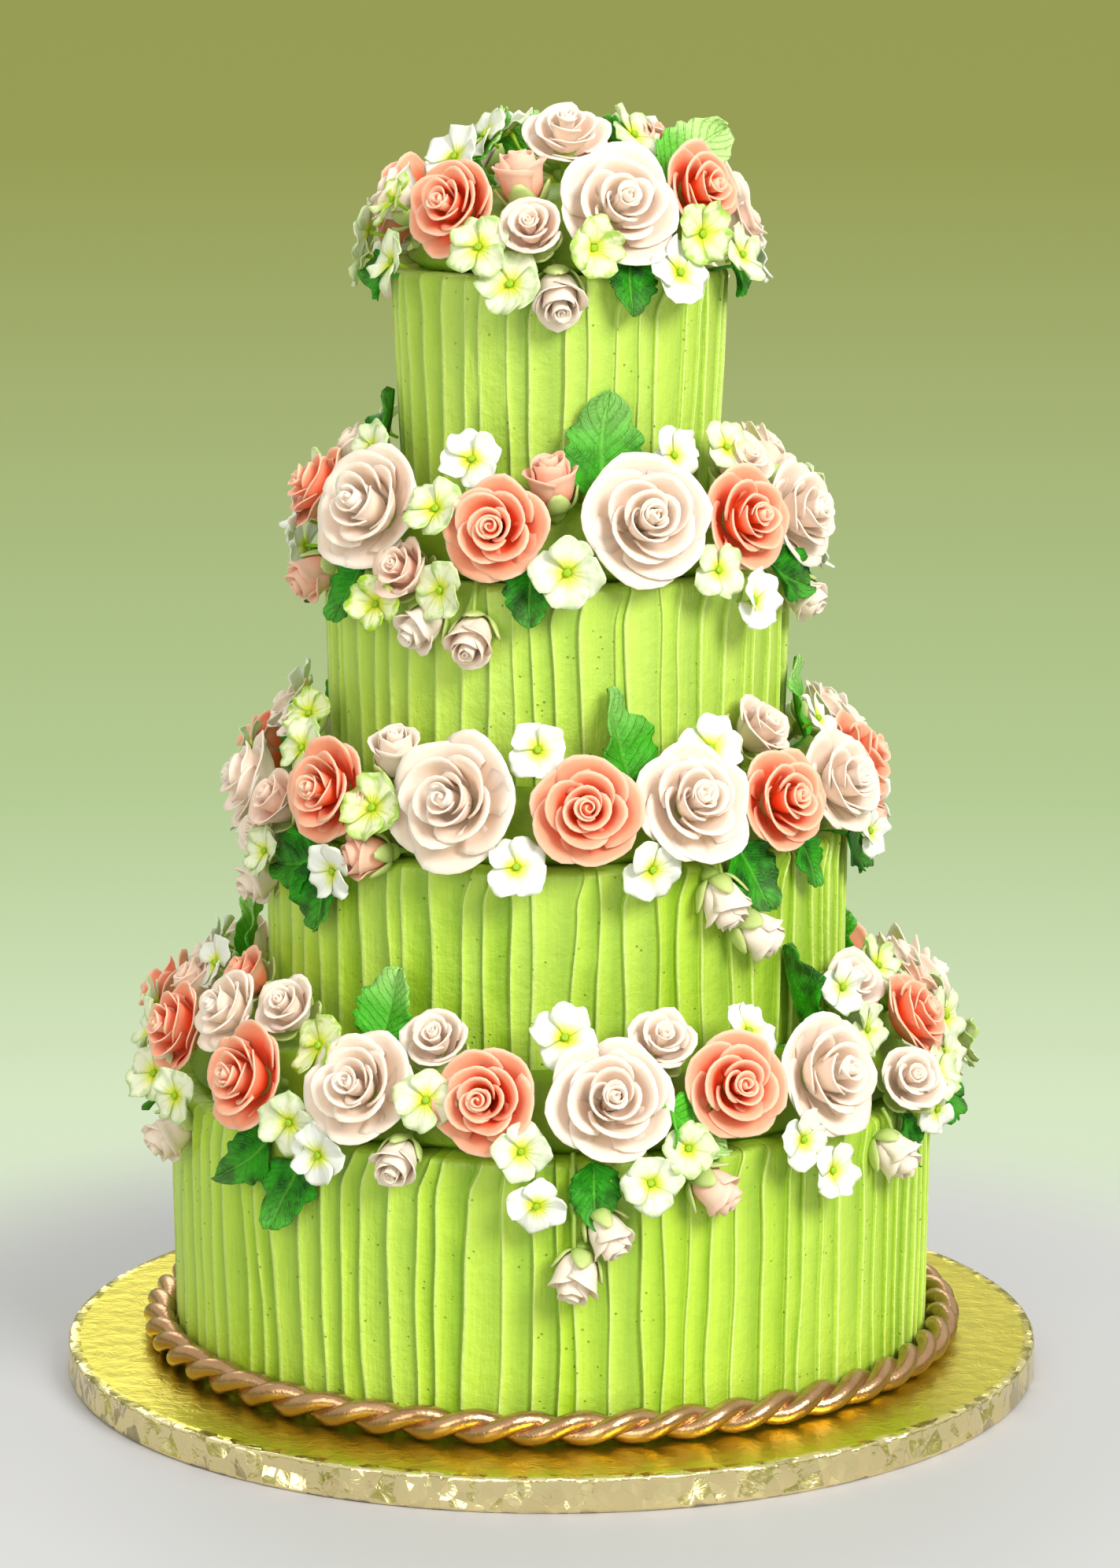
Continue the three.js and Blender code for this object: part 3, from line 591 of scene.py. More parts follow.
# ---------------------------------------------------------------- skins
class Pile:
    """Thin skins gathered into one mesh, with the values that their finish reads."""

    NAMES = ("along", "across", "layer", "tone")

    def __init__(self):
        self.points, self.faces, self.values, self.count = [], [], [], 0

    def add(self, points, faces, values):
        """Points is n by 3, faces m by 4, and values n by the number of names."""
        self.points.append(points)
        self.faces.append(faces + self.count)
        self.values.append(values)
        self.count += len(points)

    def add_rings(self, rings, along=0.0, layer=0.0):
        """Takes in rows of points round an axis, each joined to the next."""
        rows, sides = rings.shape[:2]
        values = np.zeros((rows * sides, 4))
        values[:, 0], values[:, 2] = along, layer
        self.add(rings.reshape(-1, 3), grid_faces(rows, sides, closed=True)[:, ::-1], values)

    def merge(self, other, matrix, tone=0.0):
        """Takes another pile in, moved by a matrix and given a tone."""
        turn = np.array(matrix)
        values = np.concatenate(other.values)
        values[:, 3] = tone
        points = np.concatenate(other.points) @ turn[:3, :3].T + turn[:3, 3]
        self.add(points, np.concatenate(other.faces), values)

    def mesh(self, name):
        mesh = bpy.data.meshes.new(name)
        points, faces = np.concatenate(self.points) * MM, np.concatenate(self.faces)
        mesh.from_pydata(points.tolist(), [], faces.tolist())
        for label, column in zip(self.NAMES, np.concatenate(self.values).T):
            layer = mesh.attributes.new(label, "FLOAT", "POINT")
            layer.data.foreach_set("value", np.ascontiguousarray(column, dtype=np.float32))
        work = bmesh.new()
        work.from_mesh(mesh)
        bmesh.ops.remove_doubles(work, verts=work.verts, dist=ONE_SPOT)
        bmesh.ops.dissolve_degenerate(work, edges=work.edges, dist=ONE_SPOT)
        work.to_mesh(mesh)
        work.free()
        mesh.shade_smooth()
        return mesh

    def piece(self, name, finish):
        return add_object(name, self.mesh(name), finish)


def smooth(values, low, high):
    share = np.clip((values - low) / (high - low), 0, 1)
    return share * share * (3 - 2 * share)


def grid_faces(rows, columns, closed=False):
    """The quads of a grid of points that is stored row by row; closed joins the last column to the first."""
    row = np.arange(rows - 1)[:, None] * columns
    column = np.arange(columns if closed else columns - 1)[None, :]
    ahead = (column + 1) % columns
    corners = [row + column, row + columns + column, row + columns + ahead, row + ahead]
    return np.stack([c.ravel() for c in corners], axis=1)


def wound(out, turn, up):
    """Points round +Z, each at a distance, an angle and a height."""
    return np.stack(np.broadcast_arrays(out * np.cos(turn), out * np.sin(turn), up), axis=2)


def revolved(profile, sides):
    """Points round +Z whose rows follow a profile of (radius, height) points."""
    turn = np.linspace(0, 2 * np.pi, sides, endpoint=False)
    return wound(profile[:, :1], turn, profile[:, 1:])


def petal_shares(columns, rows):
    """The share across a petal, from -1 to 1, and the share along it, from 0 to 1."""
    return np.linspace(-1, 1, columns)[:, None], np.linspace(0, 1, rows)[None, :]


def bezier(along, handles):
    """A curve from the first of four handles to the last, at the shares along it."""
    weights = [(1 - along) ** 3, 3 * along * (1 - along) ** 2, 3 * along ** 2 * (1 - along), along ** 3]
    return sum(weight * handle for weight, handle in zip(weights, handles))


def sheet_skin(pile, grid, thickness, along, across=0.0, layer=0.0):
    """A closed skin round a grid of points: its front, its back, and the rim between them."""
    normal = np.cross(np.gradient(grid, axis=0), np.gradient(grid, axis=1))
    normal /= np.linalg.norm(normal, axis=2, keepdims=True) + 1e-9
    rows, columns = grid.shape[:2]
    half = (thickness + np.zeros((rows, columns)))[..., None] / 2
    front, back = grid + normal * half, grid - normal * half
    points = np.concatenate([front.reshape(-1, 3), back.reshape(-1, 3)])
    count = rows * columns
    face = grid_faces(rows, columns)
    index = np.arange(count).reshape(rows, columns)
    edge = np.concatenate([index[:-1, 0], index[-1, :-1], index[:0:-1, -1], index[0, :0:-1]])
    ahead = np.roll(edge, -1)
    rim = np.stack([ahead, edge, edge + count, ahead + count], axis=1)
    values = np.zeros((2, rows, columns, 4))
    values[..., 0], values[..., 1], values[..., 2] = along, across, layer
    pile.add(points, np.concatenate([face, face[:, ::-1] + count, rim]), values.reshape(-1, 4))


def turned_skin(pile, half, profile, sides, layer=0.0, along=0.0):
    """A closed skin of revolution about +Z through (radius, height) points in half sizes, from its top on the
    axis to its foot on the axis."""
    pile.add_rings(revolved(np.array(profile)[::-1] * half, sides), along, layer)


def tube_skin(pile, path, radius, sides=8):
    """A round stalk along a path of points, closed at both ends."""
    path = np.asarray(path, float)
    ahead = np.gradient(path, axis=0)
    ahead /= np.linalg.norm(ahead, axis=1, keepdims=True)
    side = np.cross(ahead, (0.31, 0.95, 0.05))
    side /= np.linalg.norm(side, axis=1, keepdims=True)
    other = np.cross(ahead, side)
    turn = np.linspace(0, 2 * np.pi, sides, endpoint=False)[None, :, None]
    rings = path[:, None] + radius * (np.cos(turn) * side[:, None] + np.sin(turn) * other[:, None])
    first, last = (np.repeat(end, sides, axis=1) for end in (path[:1, None], path[-1:, None]))
    pile.add_rings(np.concatenate([first, rings, last]))


# ---------------------------------------------------------------- flowers, each looking along its own +Z
# A ring of petals: how many, where they leave the axis, where the middle of the rim is, the angles from the
# axis at which a petal leaves and ends, how tightly its rim rolls over, half its width in degrees, how far
# its ends sink, and how far one end tucks inside its neighbour. Lengths are in half sizes of the flower.
Ring = namedtuple("Ring", "petals out up reach height leave arrive roll wide drop tuck")
ROSE = [
    Ring(2, 0.04, -0.25, 0.23, 0.57, 20, 35, 0.30, 125, 0.16, 0.12),
    Ring(3, 0.06, -0.32, 0.42, 0.48, 48, 52, 0.26, 88, 0.30, 0.20),
    Ring(4, 0.08, -0.40, 0.70, 0.32, 68, 76, 0.22, 70, 0.30, 0.16),
    Ring(5, 0.10, -0.46, 1.00, 0.04, 86, 92, 0.24, 60, 0.22, 0.10),
]
BROAD_ROSE = [
    Ring(2, 0.04, -0.25, 0.21, 0.54, 20, 25, 0.30, 120, 0.18, 0.14),
    Ring(3, 0.07, -0.34, 0.40, 0.46, 54, 42, 0.26, 88, 0.30, 0.22),
    Ring(4, 0.09, -0.42, 0.68, 0.29, 74, 68, 0.22, 72, 0.30, 0.18),
    Ring(5, 0.10, -0.46, 1.00, 0.02, 88, 88, 0.24, 62, 0.20, 0.10),
]
SMALL_ROSE = [
    Ring(2, 0.05, -0.50, 0.30, 0.52, 16, 30, 0.25, 125, 0.14, 0.12),
    Ring(3, 0.08, -0.75, 0.62, 0.42, 46, 74, 0.22, 86, 0.24, 0.15),
    Ring(4, 0.10, -0.95, 1.00, 0.14, 66, 98, 0.20, 72, 0.22, 0.10),
]
BUD = [
    Ring(2, 0.05, -0.80, 0.24, 0.56, 16, 8, 0.25, 125, 0.12, 0.12),
    Ring(3, 0.08, -1.00, 0.48, 0.46, 62, 14, 0.34, 88, 0.16, 0.16),
    Ring(3, 0.10, -1.05, 0.78, 0.20, 74, 50, 0.30, 82, 0.22, 0.14),
]
PETAL_GRID, SMALL_GRID = (13, 8), (9, 7)  # points across and along a petal
SMALL_SIZE, BROAD_SIZE = 30, 46  # below the first a flower has the small grid, above the second it is broad
HEART_TURNS = 1.5  # how often the strip in the middle is rolled
ROSE_TOP, CUP_TOP, BUD_TOP = 0.62, 0.56, 0.52  # height of the rolled strip, in half sizes
PASTE, LEAF_PASTE = 0.8, 1.0  # thickness of sepals and blossoms, and of leaves
LEAF_STALK = 0.8  # radius
HALF_CLOSED, CLOSING = 0.16, 28  # the share of blossoms that are half closed, and by how many degrees


def petal_skin(pile, rng, ring, turn, layer, size, thick):
    """One petal that wraps part of the way round the axis, opens, and rolls its rim over."""
    half = size / 2
    across, along = petal_shares(*(SMALL_GRID if size < SMALL_SIZE else PETAL_GRID))
    phase, pinch = rng.uniform(0, 2 * np.pi), rng.uniform(-0.5, 0.5)
    base = np.array((ring.out, ring.up))
    chord = np.array((ring.reach * rng.uniform(0.95, 1.05), ring.height + rng.uniform(-0.04, 0.04))) - base
    span = math.hypot(*chord)
    leave, arrive = np.radians((ring.leave + rng.uniform(-6, 6), ring.arrive + rng.uniform(-14, 14)))
    drop = ring.drop * rng.uniform(0.8, 1.2)
    shrink = 1 - drop * np.abs(across) ** 2.6 + 0.04 * layer * np.exp(-((across - pinch) / 0.16) ** 2)
    base, chord, ahead, over = (np.array(pair)[:, None, None] for pair in (
        base, chord, (math.sin(leave), math.cos(leave)), (math.sin(arrive), math.cos(arrive))))
    tip = base + chord * shrink
    out, up = bezier(along, [
        base + 0 * shrink, base + 0.5 * span * ahead * shrink, tip - ring.roll * span * over, tip])
    ruffle = (0.015 + 0.025 * layer) * along ** 4 * np.sin(across * rng.uniform(3.0, 5.5) + phase)
    out = out * (1 + ring.tuck * across * along) + 0.6 * ruffle
    up = up + ruffle + 0.02 * layer * along ** 4 * np.sin(across * 8 + 2 * phase)
    wrap = np.radians(turn + ring.wide * rng.uniform(0.94, 1.06) * across + 3 * np.sin(4 * along + phase))
    edge = np.maximum(np.abs(across) ** 6, along ** 6)
    sheet_skin(pile, half * wound(out, wrap, up), thick * (1 - 0.3 * edge), along, across, layer)


def heart_skin(pile, rng, size, top, thick):
    """The rolled strip in the middle of a rose, a little off its centre."""
    half = size / 2
    share = np.linspace(0, 1, 24)[:, None]
    along = np.linspace(0, 1, 4)[None, :]
    turn = share * 2 * np.pi * HEART_TURNS + rng.uniform(0, 2 * np.pi)
    out = 0.03 + 0.12 * share + 0.03 * along ** 2 * share
    up = top * (1.0 - 0.1 * share + 0.05 * np.sin(2.2 * turn)) * along - 0.25 * (1 - along)
    offset = rng.uniform(-0.035, 0.035, 2)
    sheet_skin(pile, half * (wound(out, turn, up) + (*offset, 0)), thick, 0.6 + 0.4 * along)
    plug = [(0, top * 0.8), (0.10, top * 0.72), (0.15, 0.2), (0.1, -0.4), (0, -0.42)]
    turned_skin(pile, half, plug, 7, along=0.75)


def rose_skins(pile, rng, rings, size, top):
    """A rose or a bud: the heart and the rings of petals round it, whose top is in half sizes."""
    thick = 0.45 + 0.008 * size
    heart_skin(pile, rng, size, top, thick * 0.8)
    start = rng.uniform(0, 360)
    for number, ring in enumerate(rings):
        layer = (number + 1) / len(rings)
        for i in range(ring.petals):
            turn = start + (i + rng.uniform(-0.08, 0.08)) * 360 / ring.petals
            petal_skin(pile, rng, ring, turn, layer, size, thick)
        start += 360 / ring.petals / 2 + rng.uniform(-14, 14)


# The bulb and the stalk behind a large rose, which hold it in the icing, as (distance from the axis, height)
# in half sizes.
ROSE_BACK = [(0, -0.2), (0.2, -0.36), (0.34, -0.44), (0.32, -0.56), (0.16, -0.72), (0.1, -0.8), (0.08, -1.3),
             (0, -1.31)]
# Where a sepal starts, its two handles and its tip, in the same way.
CUP_SEPAL = [(0.10, -0.98), (0.66, -0.98), (0.84, -0.74), (0.86, -0.44)]
BUD_SEPAL = [(0.10, -1.10), (0.66, -1.06), (0.62, -0.70), (0.66, -0.34)]


def sepal_skins(pile, rng, half, count, path):
    """Broad sepals that hold a flower from behind, and the bulb and stem under it."""
    across, along = petal_shares(5, 8)
    for i in range(count):
        wide = 0.40 * np.sin(np.pi * np.clip(along * 0.86 + 0.12, 0, 1)) ** 0.6 * rng.uniform(0.8, 1.1)
        spots = np.array(path)
        spots[3] += (rng.uniform(0.0, 0.22), rng.uniform(-0.16, 0.1))
        out, up = (bezier(along, column) for column in spots.T)
        turn = 2 * np.pi * (i + rng.uniform(-0.15, 0.15)) / count + wide * across / np.maximum(out, 0.3)
        out = out + 0.05 * (1 - across ** 2)
        sheet_skin(pile, half * wound(out, turn, up), PASTE, along, across)
    bulb = [(0, 0.06), (0.26, 0.04), (0.31, -0.08), (0.24, -0.24), (0.1, -0.34), (0.08, -0.7), (0, -0.72)]
    turned_skin(pile, half, [(out, path[0][1] + up) for out, up in bulb], 8)


def blossom_skins(pile, rng, size):
    """Four broad thin ruffled petals round a small button."""
    half = size / 2
    opening = rng.uniform(6, 30) + (CLOSING if rng.uniform() < HALF_CLOSED else 0)
    across, along = petal_shares(11, 8)
    along = along ** 0.85
    for i in range(4):
        phase, other = rng.uniform(0, 6, 2)
        outline = 1 - 0.40 * np.abs(across) ** 2.2 + 0.045 * np.sin(5.5 * across + phase)
        outline = outline - 0.05 * np.exp(-((across - rng.uniform(-0.3, 0.3)) / 0.14) ** 2)
        reach = half * rng.uniform(0.96, 1.1) * outline
        wide = half * rng.uniform(0.56, 0.66) * (0.10 + 0.90 * smooth(along, -0.05, 0.66))
        close = opening * rng.uniform(0.6, 1.3)
        angle = np.radians(90 - close * (1.1 - along) + rng.uniform(-22, 26) * along ** 2)
        step = np.diff(along, prepend=0)
        out = 0.05 * half + reach * np.cumsum(np.sin(angle) * step, axis=1)
        up = -0.12 * half + reach * np.cumsum(np.cos(angle) * step, axis=1)
        waves = 0.07 * np.sin(4.6 * across + phase) + 0.035 * np.sin(9.5 * across + other)
        up = up + half * along ** 2 * waves
        up = up + half * (0.14 * across ** 2 * along - 0.06 * np.exp(-(across / 0.14) ** 2) * along)
        twist = math.radians(rng.uniform(4, 18))
        turn = np.radians(90 * i + rng.uniform(-7, 7))
        side = wide * across
        up = up + side * math.sin(twist)
        cosine, sine = np.cos(turn), np.sin(turn)
        grid = np.stack([out * cosine - side * sine, out * sine + side * cosine, up], axis=2)
        edge = np.maximum(np.abs(across) ** 4, along ** 4)
        sheet_skin(pile, grid, PASTE - 0.4 * edge, along, across)
    button = [(0, 0.05), (0.04, 0.04), (0.09, 0.06), (0.12, 0.0), (0.1, -0.12), (0, -0.14)]
    turned_skin(pile, half, button, 8, layer=1.0)
    stem = [(0, -0.1), (0.1, -0.14), (0.07, -0.4), (0.06, -0.7), (0, -0.72)]
    turned_skin(pile, half, stem, 6, layer=1.0)


def leaf_skins(pile, rng, size):
    """A leaf whose tip is along +Y, its stalk end a little under half its length below the origin."""
    across, along = petal_shares(11, 19)
    blunt = rng.uniform(0.45, 0.75)
    belly = np.sin(np.pi * np.clip(along, 0.001, 1) ** 0.72) ** blunt
    lobes = np.abs(np.sin(along * np.pi * rng.uniform(4.0, 6.0) + rng.uniform(0, 3)))
    teeth = 1 + 0.2 * (lobes - 0.6) * np.abs(across) ** 2
    wide = (0.03 + 0.42 * belly * (1 - 0.2 * along)) * teeth * rng.uniform(0.88, 1.05)
    x = wide * across
    phase, bend, fold = rng.uniform(0, 6), rng.uniform(0.05, 0.34), rng.uniform(0.0, 0.5)
    z = bend * along ** 2 + fold * np.abs(x) - 0.05
    z = z + 0.06 * np.sin(along * 7 + phase) * across * np.abs(across)
    z = z + 0.045 * np.sin(along * 15) * across ** 2
    z = z - 0.025 * np.exp(-(across / 0.12) ** 2)
    x = x + 0.07 * np.sin(along * 3 + phase) * along
    grid = size * np.stack([x, along - 0.45 + 0 * across, z], axis=2)
    edge = np.maximum(np.abs(across) ** 4, along ** 6)
    sheet_skin(pile, grid, LEAF_PASTE - 0.45 * edge, along, across)
    stalk = [(-0.43, -0.05 * size), (-0.5, -4), (-0.52, -9), (-0.5, -16)]
    tube_skin(pile, [(0, back * size, down) for back, down in stalk], LEAF_STALK, 6)


# ---------------------------------------------------------------- sprays
NODS = {"cup": 18, "nodding": 36, "open bud": 48, "bud": 60}  # how far each kind is bent towards its lean
BUDS = ("bud", "nodding", "open bud")
ROSE_TURN, BLOSSOM_TURN = 7, 16  # how far they are turned out of true about two axes, in degrees
FRONT, SIDE = 40, 45  # blossoms are turned from the first azimuth on, and less again from the second
STALK_RADIUS, STALK_RIM = 0.9, 4  # stalks hang from this height on the icing
MOUND_SIDES = 180
MOUND_INSETS = ((10, 21), (19, 20), (27, 21))  # heights, and how far inside the spray's outline it lies there
MOUND_LUMPS = {"Depth": 2.4 * MM, "Scale": 90.0}  # how deep they are, and how many to the metre

# The name, the finish and the slot of each pile of small things in a spray.
PILES = {
    "cup": ("small_roses", "small", "ivory_sugar"),
    "bud": ("buds", "small", "ivory_sugar"),
    "blossom": ("blossoms", "blossom", "blossom_sugar"),
    "leaf": ("leaves", "leaf", "leaf_sugar"),
    "calyx": ("calyxes", "calyx", "leaf_sugar"),
}


def turned(axis, degrees):
    return Matrix.Rotation(math.radians(degrees), 4, axis)


def tipped(place, rng, most, swing=0):
    """The place of a flower, turned a little at random and then by its swing."""
    place = place @ turned("X", rng.uniform(-most, most))
    return place @ turned("Y", rng.uniform(-most, most) + swing)


def side_swing(azimuth):
    """Blossoms at the sides are turned part of the way to the front or to the back."""
    away = abs(azimuth)
    past = math.sin(2 * math.radians(azimuth)) if away > SIDE else math.copysign(1.0, azimuth)
    return -SIDE_SWING * past * max(0.0, min(away, 180 - away) - FRONT)


def mound_mesh(spray):
    """The icing that the flowers are pressed into: a ring on a ledge, a low dome on the top."""
    lower = TIERS[spray.tier]
    top = spray.tier == len(TIERS) - 1
    outer = [(lower.rim - 13, 0.6), (lower.rim - 9, 4)]
    outer += [(outline_radius(spray, height) - inset, height) for height, inset in MOUND_INSETS]
    if top:
        profile = [(0, 0.6), *outer, (38, 30), (20, 33), (0, 34)]
    else:
        wall = TIERS[spray.tier + 1].foot + 1.4
        profile = [(wall, 0.6), *outer, (0.5 * outer[-1][0] + 0.5 * wall, 30), (wall, 27)]
        profile.append(profile[0])
    pile = Pile()
    pile.add_rings(revolved(np.array(profile), MOUND_SIDES) + (lower.shift, 0, LEVELS[spray.tier + 1]))
    return pile.mesh("mound")


def stalk_path(place, height):
    """From the back of a hanging flower up to the rim, bowed outwards."""
    drop = STALK_RIM - height
    start, middle, end = (np.array(place @ Vector(spot)) for spot in (
        (0, 0, -6), (0, 0.5 * drop, -1), (0, drop, -OVERHANG)))
    share = np.linspace(0, 1, 9)[:, None]
    return start * (1 - share) ** 2 + 2 * middle * share * (1 - share) + end * share ** 2


def dress(piece, node):
    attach(piece, BODY)
    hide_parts(node)


def make_rose(node, rng, spray, rose, calyxes, finish):
    """A large rose, which is a piece of its own. Its back goes with the calyxes."""
    petals, back, whole = Pile(), Pile(), Pile()
    rose_skins(petals, rng, BROAD_ROSE if rose.size > BROAD_SIZE else ROSE, rose.size, ROSE_TOP)
    turned_skin(back, rose.size / 2, ROSE_BACK, 8)
    matrix = tipped(place_of(spray, "rose", rose.azimuth, rose.height), rng, ROSE_TURN, rose.swing)
    whole.merge(petals, matrix)
    calyxes.merge(back, matrix)
    dress(whole.piece(f"sugar_{node}", finish), node)


def add_flower(piles, rng, spray, flower):
    """A small flower or a leaf. Its sepals and its stalk go with the calyxes."""
    kind, size = flower.kind, flower.size
    place = place_of(spray, kind, flower.azimuth, flower.height)
    skins, greens = Pile(), Pile()
    if kind == "blossom":
        blossom_skins(skins, rng, size)
        matrix = tipped(place @ turned("Y", side_swing(flower.azimuth)), rng, BLOSSOM_TURN)
        matrix = matrix @ turned("Z", rng.uniform(0, 90)) @ Matrix.Translation((0, 0, BLOSSOM_STEP))
    else:
        matrix = place @ Matrix.Translation((0, 0, flower.step)) @ turned("Y", flower.swing)
        matrix = matrix @ (turned("Z", -flower.lean) @ turned("X", -NODS.get(kind, 0)))
    if kind == "cup":
        rose_skins(skins, rng, SMALL_ROSE, size, CUP_TOP)
        sepal_skins(greens, rng, size / 2, 5, CUP_SEPAL)
    elif kind in BUDS:
        rose_skins(skins, rng, BUD, size, BUD_TOP)
        sepal_skins(greens, rng, size / 2, 4, BUD_SEPAL)
    elif kind == "leaf":
        leaf_skins(skins, rng, size)
    piles["bud" if kind in BUDS else kind].merge(skins, matrix, flower.tone)
    if greens.points:
        piles["calyx"].merge(greens, matrix)
    if flower.height <= HANGING and kind in (*BUDS, "blossom"):
        tube_skin(piles["calyx"], stalk_path(place, flower.height), STALK_RADIUS)


def make_spray(number, spray, finishes, crinkle):
    large, small = flowers_of(spray)
    piles = {kind: Pile() for kind in PILES}
    for i, rose in enumerate(large):
        node = f"rose_{number}_{i + 1:02d}_{rose.colour}"
        rng = np.random.default_rng(1000 * number + i)
        make_rose(node, rng, spray, rose, piles["calyx"], finishes[rose.colour])
    for i, flower in enumerate(small):
        add_flower(piles, np.random.default_rng(1000 * number + 500 + i), spray, flower)
    node = f"spray_{number}"
    for kind, (name, look, slot) in PILES.items():
        dress(piles[kind].piece(f"{name}_{number}", finishes[look]), node)
    mound = crinkle.shape(f"mound_{number}", {**MOUND_LUMPS, "Finish": finishes["mound"]}, mound_mesh(spray))
    dress(mound, node)


# ---------------------------------------------------------------- tiers, board and rope
STROKE_COLUMNS = 13  # points across each knife stroke
TIER_ROWS = 23
STROKE_RISE = 0.10
RIM_ROUND = 2.6
TIER_SHEEN = [0.0, 0.1, 0.4, 0.5]  # painted sheen of each tier, from the bottom, as the upper tiers catch more light
SMEAR = 1.15  # the strokes are cut this much deeper than they show
ROPE_STEPS, STRAND_SIDES = ROPE_TWISTS * 18, 14
STRAND = 0.57 * ROPE_LOBE  # radius of one strand
BOARD_COLUMNS = 720
BOARD_CORNER = 1.6
BOARD_RINGS = (198, 190, 176, 160, 120)  # rings of points on the top of the board
FOIL_FOLDS = ((0.5, 61, 1.6, 0.4), (0.4, 97, -2.1, 1.9), (0.3, 143, 2.7, 4.1))  # depth, count, slant, start
FOIL_RIM = 200  # from this radius outwards the foil is folded


def tier_form():
    """A closed cake tier whose side is a run of knife strokes: each rises steeply to a lip that leans over
    the stroke before it, and falls slowly to the next. Strokes differ in depth, wander, and here and there
    run into each other."""
    form = Form("knife_strokes", "Foot Rim Height Level Shift Depth Seed Pale", Strokes="Int")
    given = form.given
    strokes, height, depth, seed = (given[name] for name in ("Strokes", "Height", "Depth", "Seed"))
    grid = form.node("GeometryNodeMeshGrid", {
        "Size X": 1.0, "Size Y": 1.0, "Vertices X": strokes * STROKE_COLUMNS + 1, "Vertices Y": TIER_ROWS})
    spot = form.node("ShaderNodeSeparateXYZ", {0: form.node("GeometryNodeInputPosition")})
    around = (spot["X"] + 0.5) * strokes
    row = (spot["Y"] + 0.5) * (TIER_ROWS - 1)
    index = form.math("FLOOR", around + 0.001)
    part = form.math("MAXIMUM", around - index, 0.0) ** 1.5

    def once(number):
        """The number of a stroke, which starts again after a full turn."""
        return form.math("FLOORED_MODULO", number, strokes)

    def chance(number, salt):
        return form.node("ShaderNodeTexWhiteNoise", {"Vector": form.combine(once(number), seed, salt)},
                         noise_dimensions="3D")

    climb = form.clamp((row - 1) / (TIER_ROWS - 4))
    share = 1 - (1 - climb) ** 1.7
    level = share * height
    flat_turn = around * 2 * math.pi / strokes
    on_side = form.combine(*form.polar(flat_turn, given["Foot"]), level * 0.6 + seed)
    sweep = (form.noise(on_side, 14.0, 1.0) - 0.5) * 0.9

    def edge_of(number):
        """Where the lip of a stroke runs: strokes differ in width, and each lip wanders by itself."""
        own = form.combine(once(number) * 5.3, level * 15.0, seed)
        drift = (form.noise(own, 1.0, 1.0) - 0.5) * 0.55
        leave = form.smooth(share, 0.86, 1.0) * (chance(number, 5.0) - 0.25) * 0.7
        return number + (chance(number, 4.0) - 0.5) * 0.62 + drift + leave

    def hollow(number):
        """How deep the hollow before a stroke is: it fades where two strokes run into each other."""
        where = form.combine(once(number) * 3.7, level * 20.0, seed)
        fade = form.smooth(form.noise(where, 1.0, 1.0), 0.62, 0.72, 1.0, 0.3)
        return depth * (0.5 + chance(number, 1.0) * 0.7) * fade

    def ridge(start):
        """One on the lip of a stroke, nothing before a share of its rise and soon after it."""
        return form.smooth(part, STROKE_RISE * start, STROKE_RISE) * form.smooth(
            part, STROKE_RISE + 0.1, STROKE_RISE)

    up = form.smooth(part, 0.0, STROKE_RISE)
    past = form.clamp((part - STROKE_RISE) / (1 - STROKE_RISE))
    fall = past * 0.5 + (1 - (1 - past) ** 7) * 0.5
    crest = depth * 0.25 * chance(index, 2.0)
    groove = form.smooth(past, 0.88, 1.0) * 0.35
    inset = hollow(index) * (1.35 - 1.35 * up) + crest * (up - fall) - ridge(0.4) * 0.0003
    inset = inset + hollow(index + 1) * (fall + groove)
    lean = up * (1 - past) ** 3 * 0.09
    first, last = edge_of(index), edge_of(index + 1)
    turn = (first + (last - first) * (part - lean) + sweep) * 2 * math.pi / strokes
    swell = (form.noise(on_side, 70.0, 2.0) - 0.5) * 0.0009
    edge = form.clamp((level - (height - RIM_ROUND * MM)) / (RIM_ROUND * MM))
    rounding = (1 - form.math("SQRT", 1 - edge * edge)) * (RIM_ROUND * MM)
    out = given["Foot"] + (given["Rim"] - given["Foot"]) * share - inset - rounding + swell * (1 - edge)
    inward = form.clamp(row) * form.clamp((TIER_ROWS - 1 - row) / 2)
    out = out * inward
    rim_wave = (form.noise(on_side, 60.0, 1.0) - 0.55) * 0.0016 * form.smooth(share, 0.9, 1.0)
    x, y = form.polar(turn, out)
    place = form.combine(x + given["Shift"], y, level + given["Level"] + rim_wave * inward)
    # lip places the painted highlight on the lips of the strokes; face and hollow place the painted shade
    stored = form.store(grid["Mesh"], hollow=form.clamp(inset / depth), stroke=chance(index, 3.0),
                        pale=given["Pale"], lip=ridge(0.5) * (1 - edge), face=past * (1 - edge) + edge * 0.4)
    moved = form.node("GeometryNodeSetPosition", {"Geometry": stored, "Position": place})
    form.close(form.node("GeometryNodeMergeByDistance", {"Geometry": moved, "Distance": 1e-5}))
    return form


